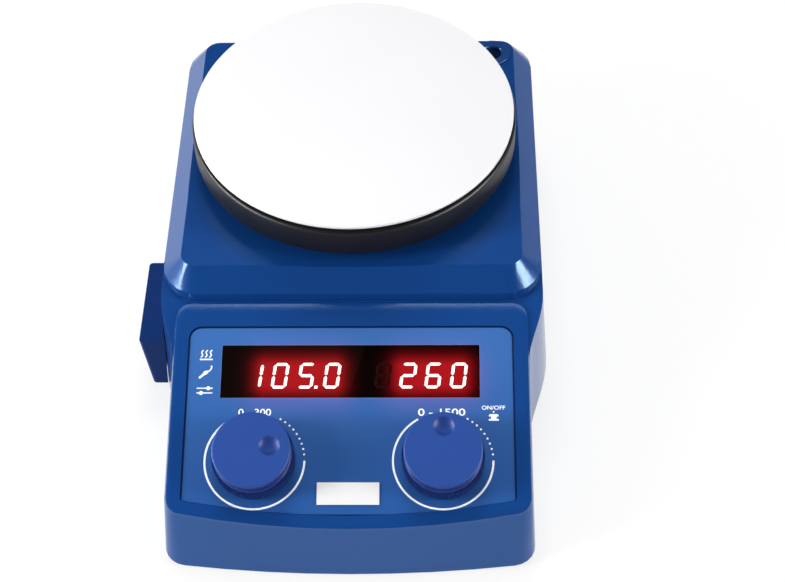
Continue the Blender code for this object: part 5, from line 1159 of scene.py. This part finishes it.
def paper_floor():
    material = bpy.data.materials.new("paper_floor")
    material.use_nodes = True
    tree = material.node_tree
    tree.nodes.clear()
    paper = add_node(tree, "ShaderNodeBsdfDiffuse", None, {"Color": (0.9, 0.9, 0.9, 1.0)})
    rays = tree.nodes.new("ShaderNodeLightPath")
    camera = Wire(tree, rays.outputs["Is Camera Ray"])
    glossy = Wire(tree, rays.outputs["Is Glossy Ray"])
    place = tree.nodes.new("ShaderNodeTexCoord")
    parts = add_node(tree, "ShaderNodeSeparateXYZ", None, {0: Wire(tree, place.outputs["Object"])})
    shade = SHADE_SHARE * glossy * Wire(tree, parts.outputs[0]).smooth(SHADE_FROM, SHADE_TO)
    strength = PAPER_WHITE * (1.0 - shade)
    white = add_node(tree, "ShaderNodeEmission", None, {"Color": (1.0, 1.0, 1.0, 1.0), "Strength": strength})
    through = Wire(tree, rays.outputs["Is Transmission Ray"])
    seen = (camera + glossy + through).below(1.0) * (1.0 - SHADOW_SHARE)
    mix = tree.nodes.new("ShaderNodeMixShader")
    link_wire(tree, seen, mix.inputs[0])
    tree.links.new(paper.outputs[0], mix.inputs[1])
    tree.links.new(white.outputs[0], mix.inputs[2])
    sink = tree.nodes.new("ShaderNodeOutputMaterial")
    tree.links.new(mix.outputs[0], sink.inputs["Surface"])
    return material


bpy.ops.mesh.primitive_plane_add(size=FLOOR_SIZE)
floor = bpy.context.object
floor.name = "paper_floor"
floor.data.materials.append(paper_floor())


def studio_world():
    """White to the camera, a soft grey room to everything else, darker high up for reflections."""
    world = bpy.data.worlds.new("studio")
    world.use_nodes = True
    tree = world.node_tree
    back = tree.nodes["Background"]
    back.inputs["Color"].default_value = (1.0, 1.0, 1.0, 1.0)
    rays = tree.nodes.new("ShaderNodeLightPath")
    camera = Wire(tree, rays.outputs["Is Camera Ray"])
    glossy = Wire(tree, rays.outputs["Is Glossy Ray"])
    through = Wire(tree, rays.outputs["Is Transmission Ray"])
    where = tree.nodes.new("ShaderNodeTexCoord")
    parts = add_node(tree, "ShaderNodeSeparateXYZ", None, {0: Wire(tree, where.outputs["Generated"])})
    ceiling = Wire(tree, parts.outputs[2]).smooth(CEILING_FROM, CEILING_TO)
    horizon = HORIZON_LIGHT - HORIZON_FALL * Wire(tree, parts.outputs[0])
    mirrored = horizon * (1.0 - ceiling) + CEILING_LIGHT * ceiling
    room = glossy * mirrored + (1.0 - glossy) * ROOM_LIGHT
    white = (camera + through).below(1.0)
    level = white + (1.0 - white) * room
    link_wire(tree, level, back.inputs["Strength"])
    return world


bpy.context.scene.world = studio_world()

# %% [markdown]
# Soft boxes light the object: one high up behind it, a narrow one at each side and one at the
# left rear. They are kept out of reflections, so that the deck stays deep in tone. Gloss sees a set of
# panels of its own: they give the left side its pale sheen, and the round corners and edges
# their sparks and bright lines.

# %% Soft boxes
TARGET = Vector((0.0, 0.0, 0.05))


def soft_box(name, place, width, height, power, seen_in_gloss=False):
    """An area lamp that looks at the object, either as light or only as what gloss reflects."""
    lamp = bpy.data.lights.new(name, "AREA")
    lamp.shape = "RECTANGLE"
    lamp.size, lamp.size_y = width, height
    lamp.energy = power
    holder = bpy.data.objects.new(name, lamp)
    holder.location = place
    holder.rotation_euler = (TARGET - Vector(place)).to_track_quat("-Z", "Y").to_euler()
    holder.visible_glossy = seen_in_gloss
    holder.visible_diffuse = not seen_in_gloss
    bpy.context.scene.collection.objects.link(holder)


soft_box("key_box", (-0.08, 0.85, 1.5), 0.55, 0.55, 12.5)
soft_box("left_box", (-1.25, -0.40, 0.58), 0.30, 0.7, 16.0)
soft_box("right_box", (1.25, -0.40, 0.58), 0.30, 0.7, 9.0)
soft_box("left_back_box", (-1.2, 1.2, 0.25), 0.8, 0.5, 4.0)
soft_box("left_back_panel", (-1.2, 1.2, 0.25), 0.8, 0.5, 7.0, seen_in_gloss=True)
soft_box("left_panel", (-1.25, -0.15, 0.56), 1.2, 0.50, 36.0, seen_in_gloss=True)
soft_box("right_panel", (1.25, -0.30, 0.56), 0.9, 0.50, 27.0, seen_in_gloss=True)
soft_box("rear_strip", (0.0, 0.62, 1.72), 2.2, 0.12, 4.0, seen_in_gloss=True)

# %% [markdown]
# The camera stands where the photograph's did: in front and above, looking down about fifty
# degrees, turned and rolled by a couple of degrees. Its angles and focal length were fitted to
# the plate's ellipse and the console's corners.

# %% Camera
CAMERA_PLACE = Vector((0.0392548, -0.4683232, 0.5859921))
CAMERA_PITCH = 0.8757
CAMERA_YAW = -0.0402
CAMERA_ROLL = -0.0339
CAMERA_LENS = 77.96
CAMERA_SENSOR = 36.0

right = Vector((math.cos(CAMERA_YAW), -math.sin(CAMERA_YAW), 0))
ahead = Vector(
    (
        math.sin(CAMERA_YAW) * math.cos(CAMERA_PITCH),
        math.cos(CAMERA_YAW) * math.cos(CAMERA_PITCH),
        -math.sin(CAMERA_PITCH),
    )
)
up = right.cross(ahead)
across = math.cos(CAMERA_ROLL) * right + math.sin(CAMERA_ROLL) * up
upward = -math.sin(CAMERA_ROLL) * right + math.cos(CAMERA_ROLL) * up
lens = bpy.data.cameras.new("camera")
lens.lens = CAMERA_LENS
lens.sensor_width = CAMERA_SENSOR
camera = bpy.data.objects.new("camera", lens)
camera_turn = Matrix((across, upward, -ahead)).transposed().to_4x4()
camera.matrix_world = Matrix.Translation(CAMERA_PLACE) @ camera_turn
bpy.context.scene.collection.objects.link(camera)
bpy.context.scene.camera = camera
bpy.context.scene.view_settings.view_transform = "Standard"
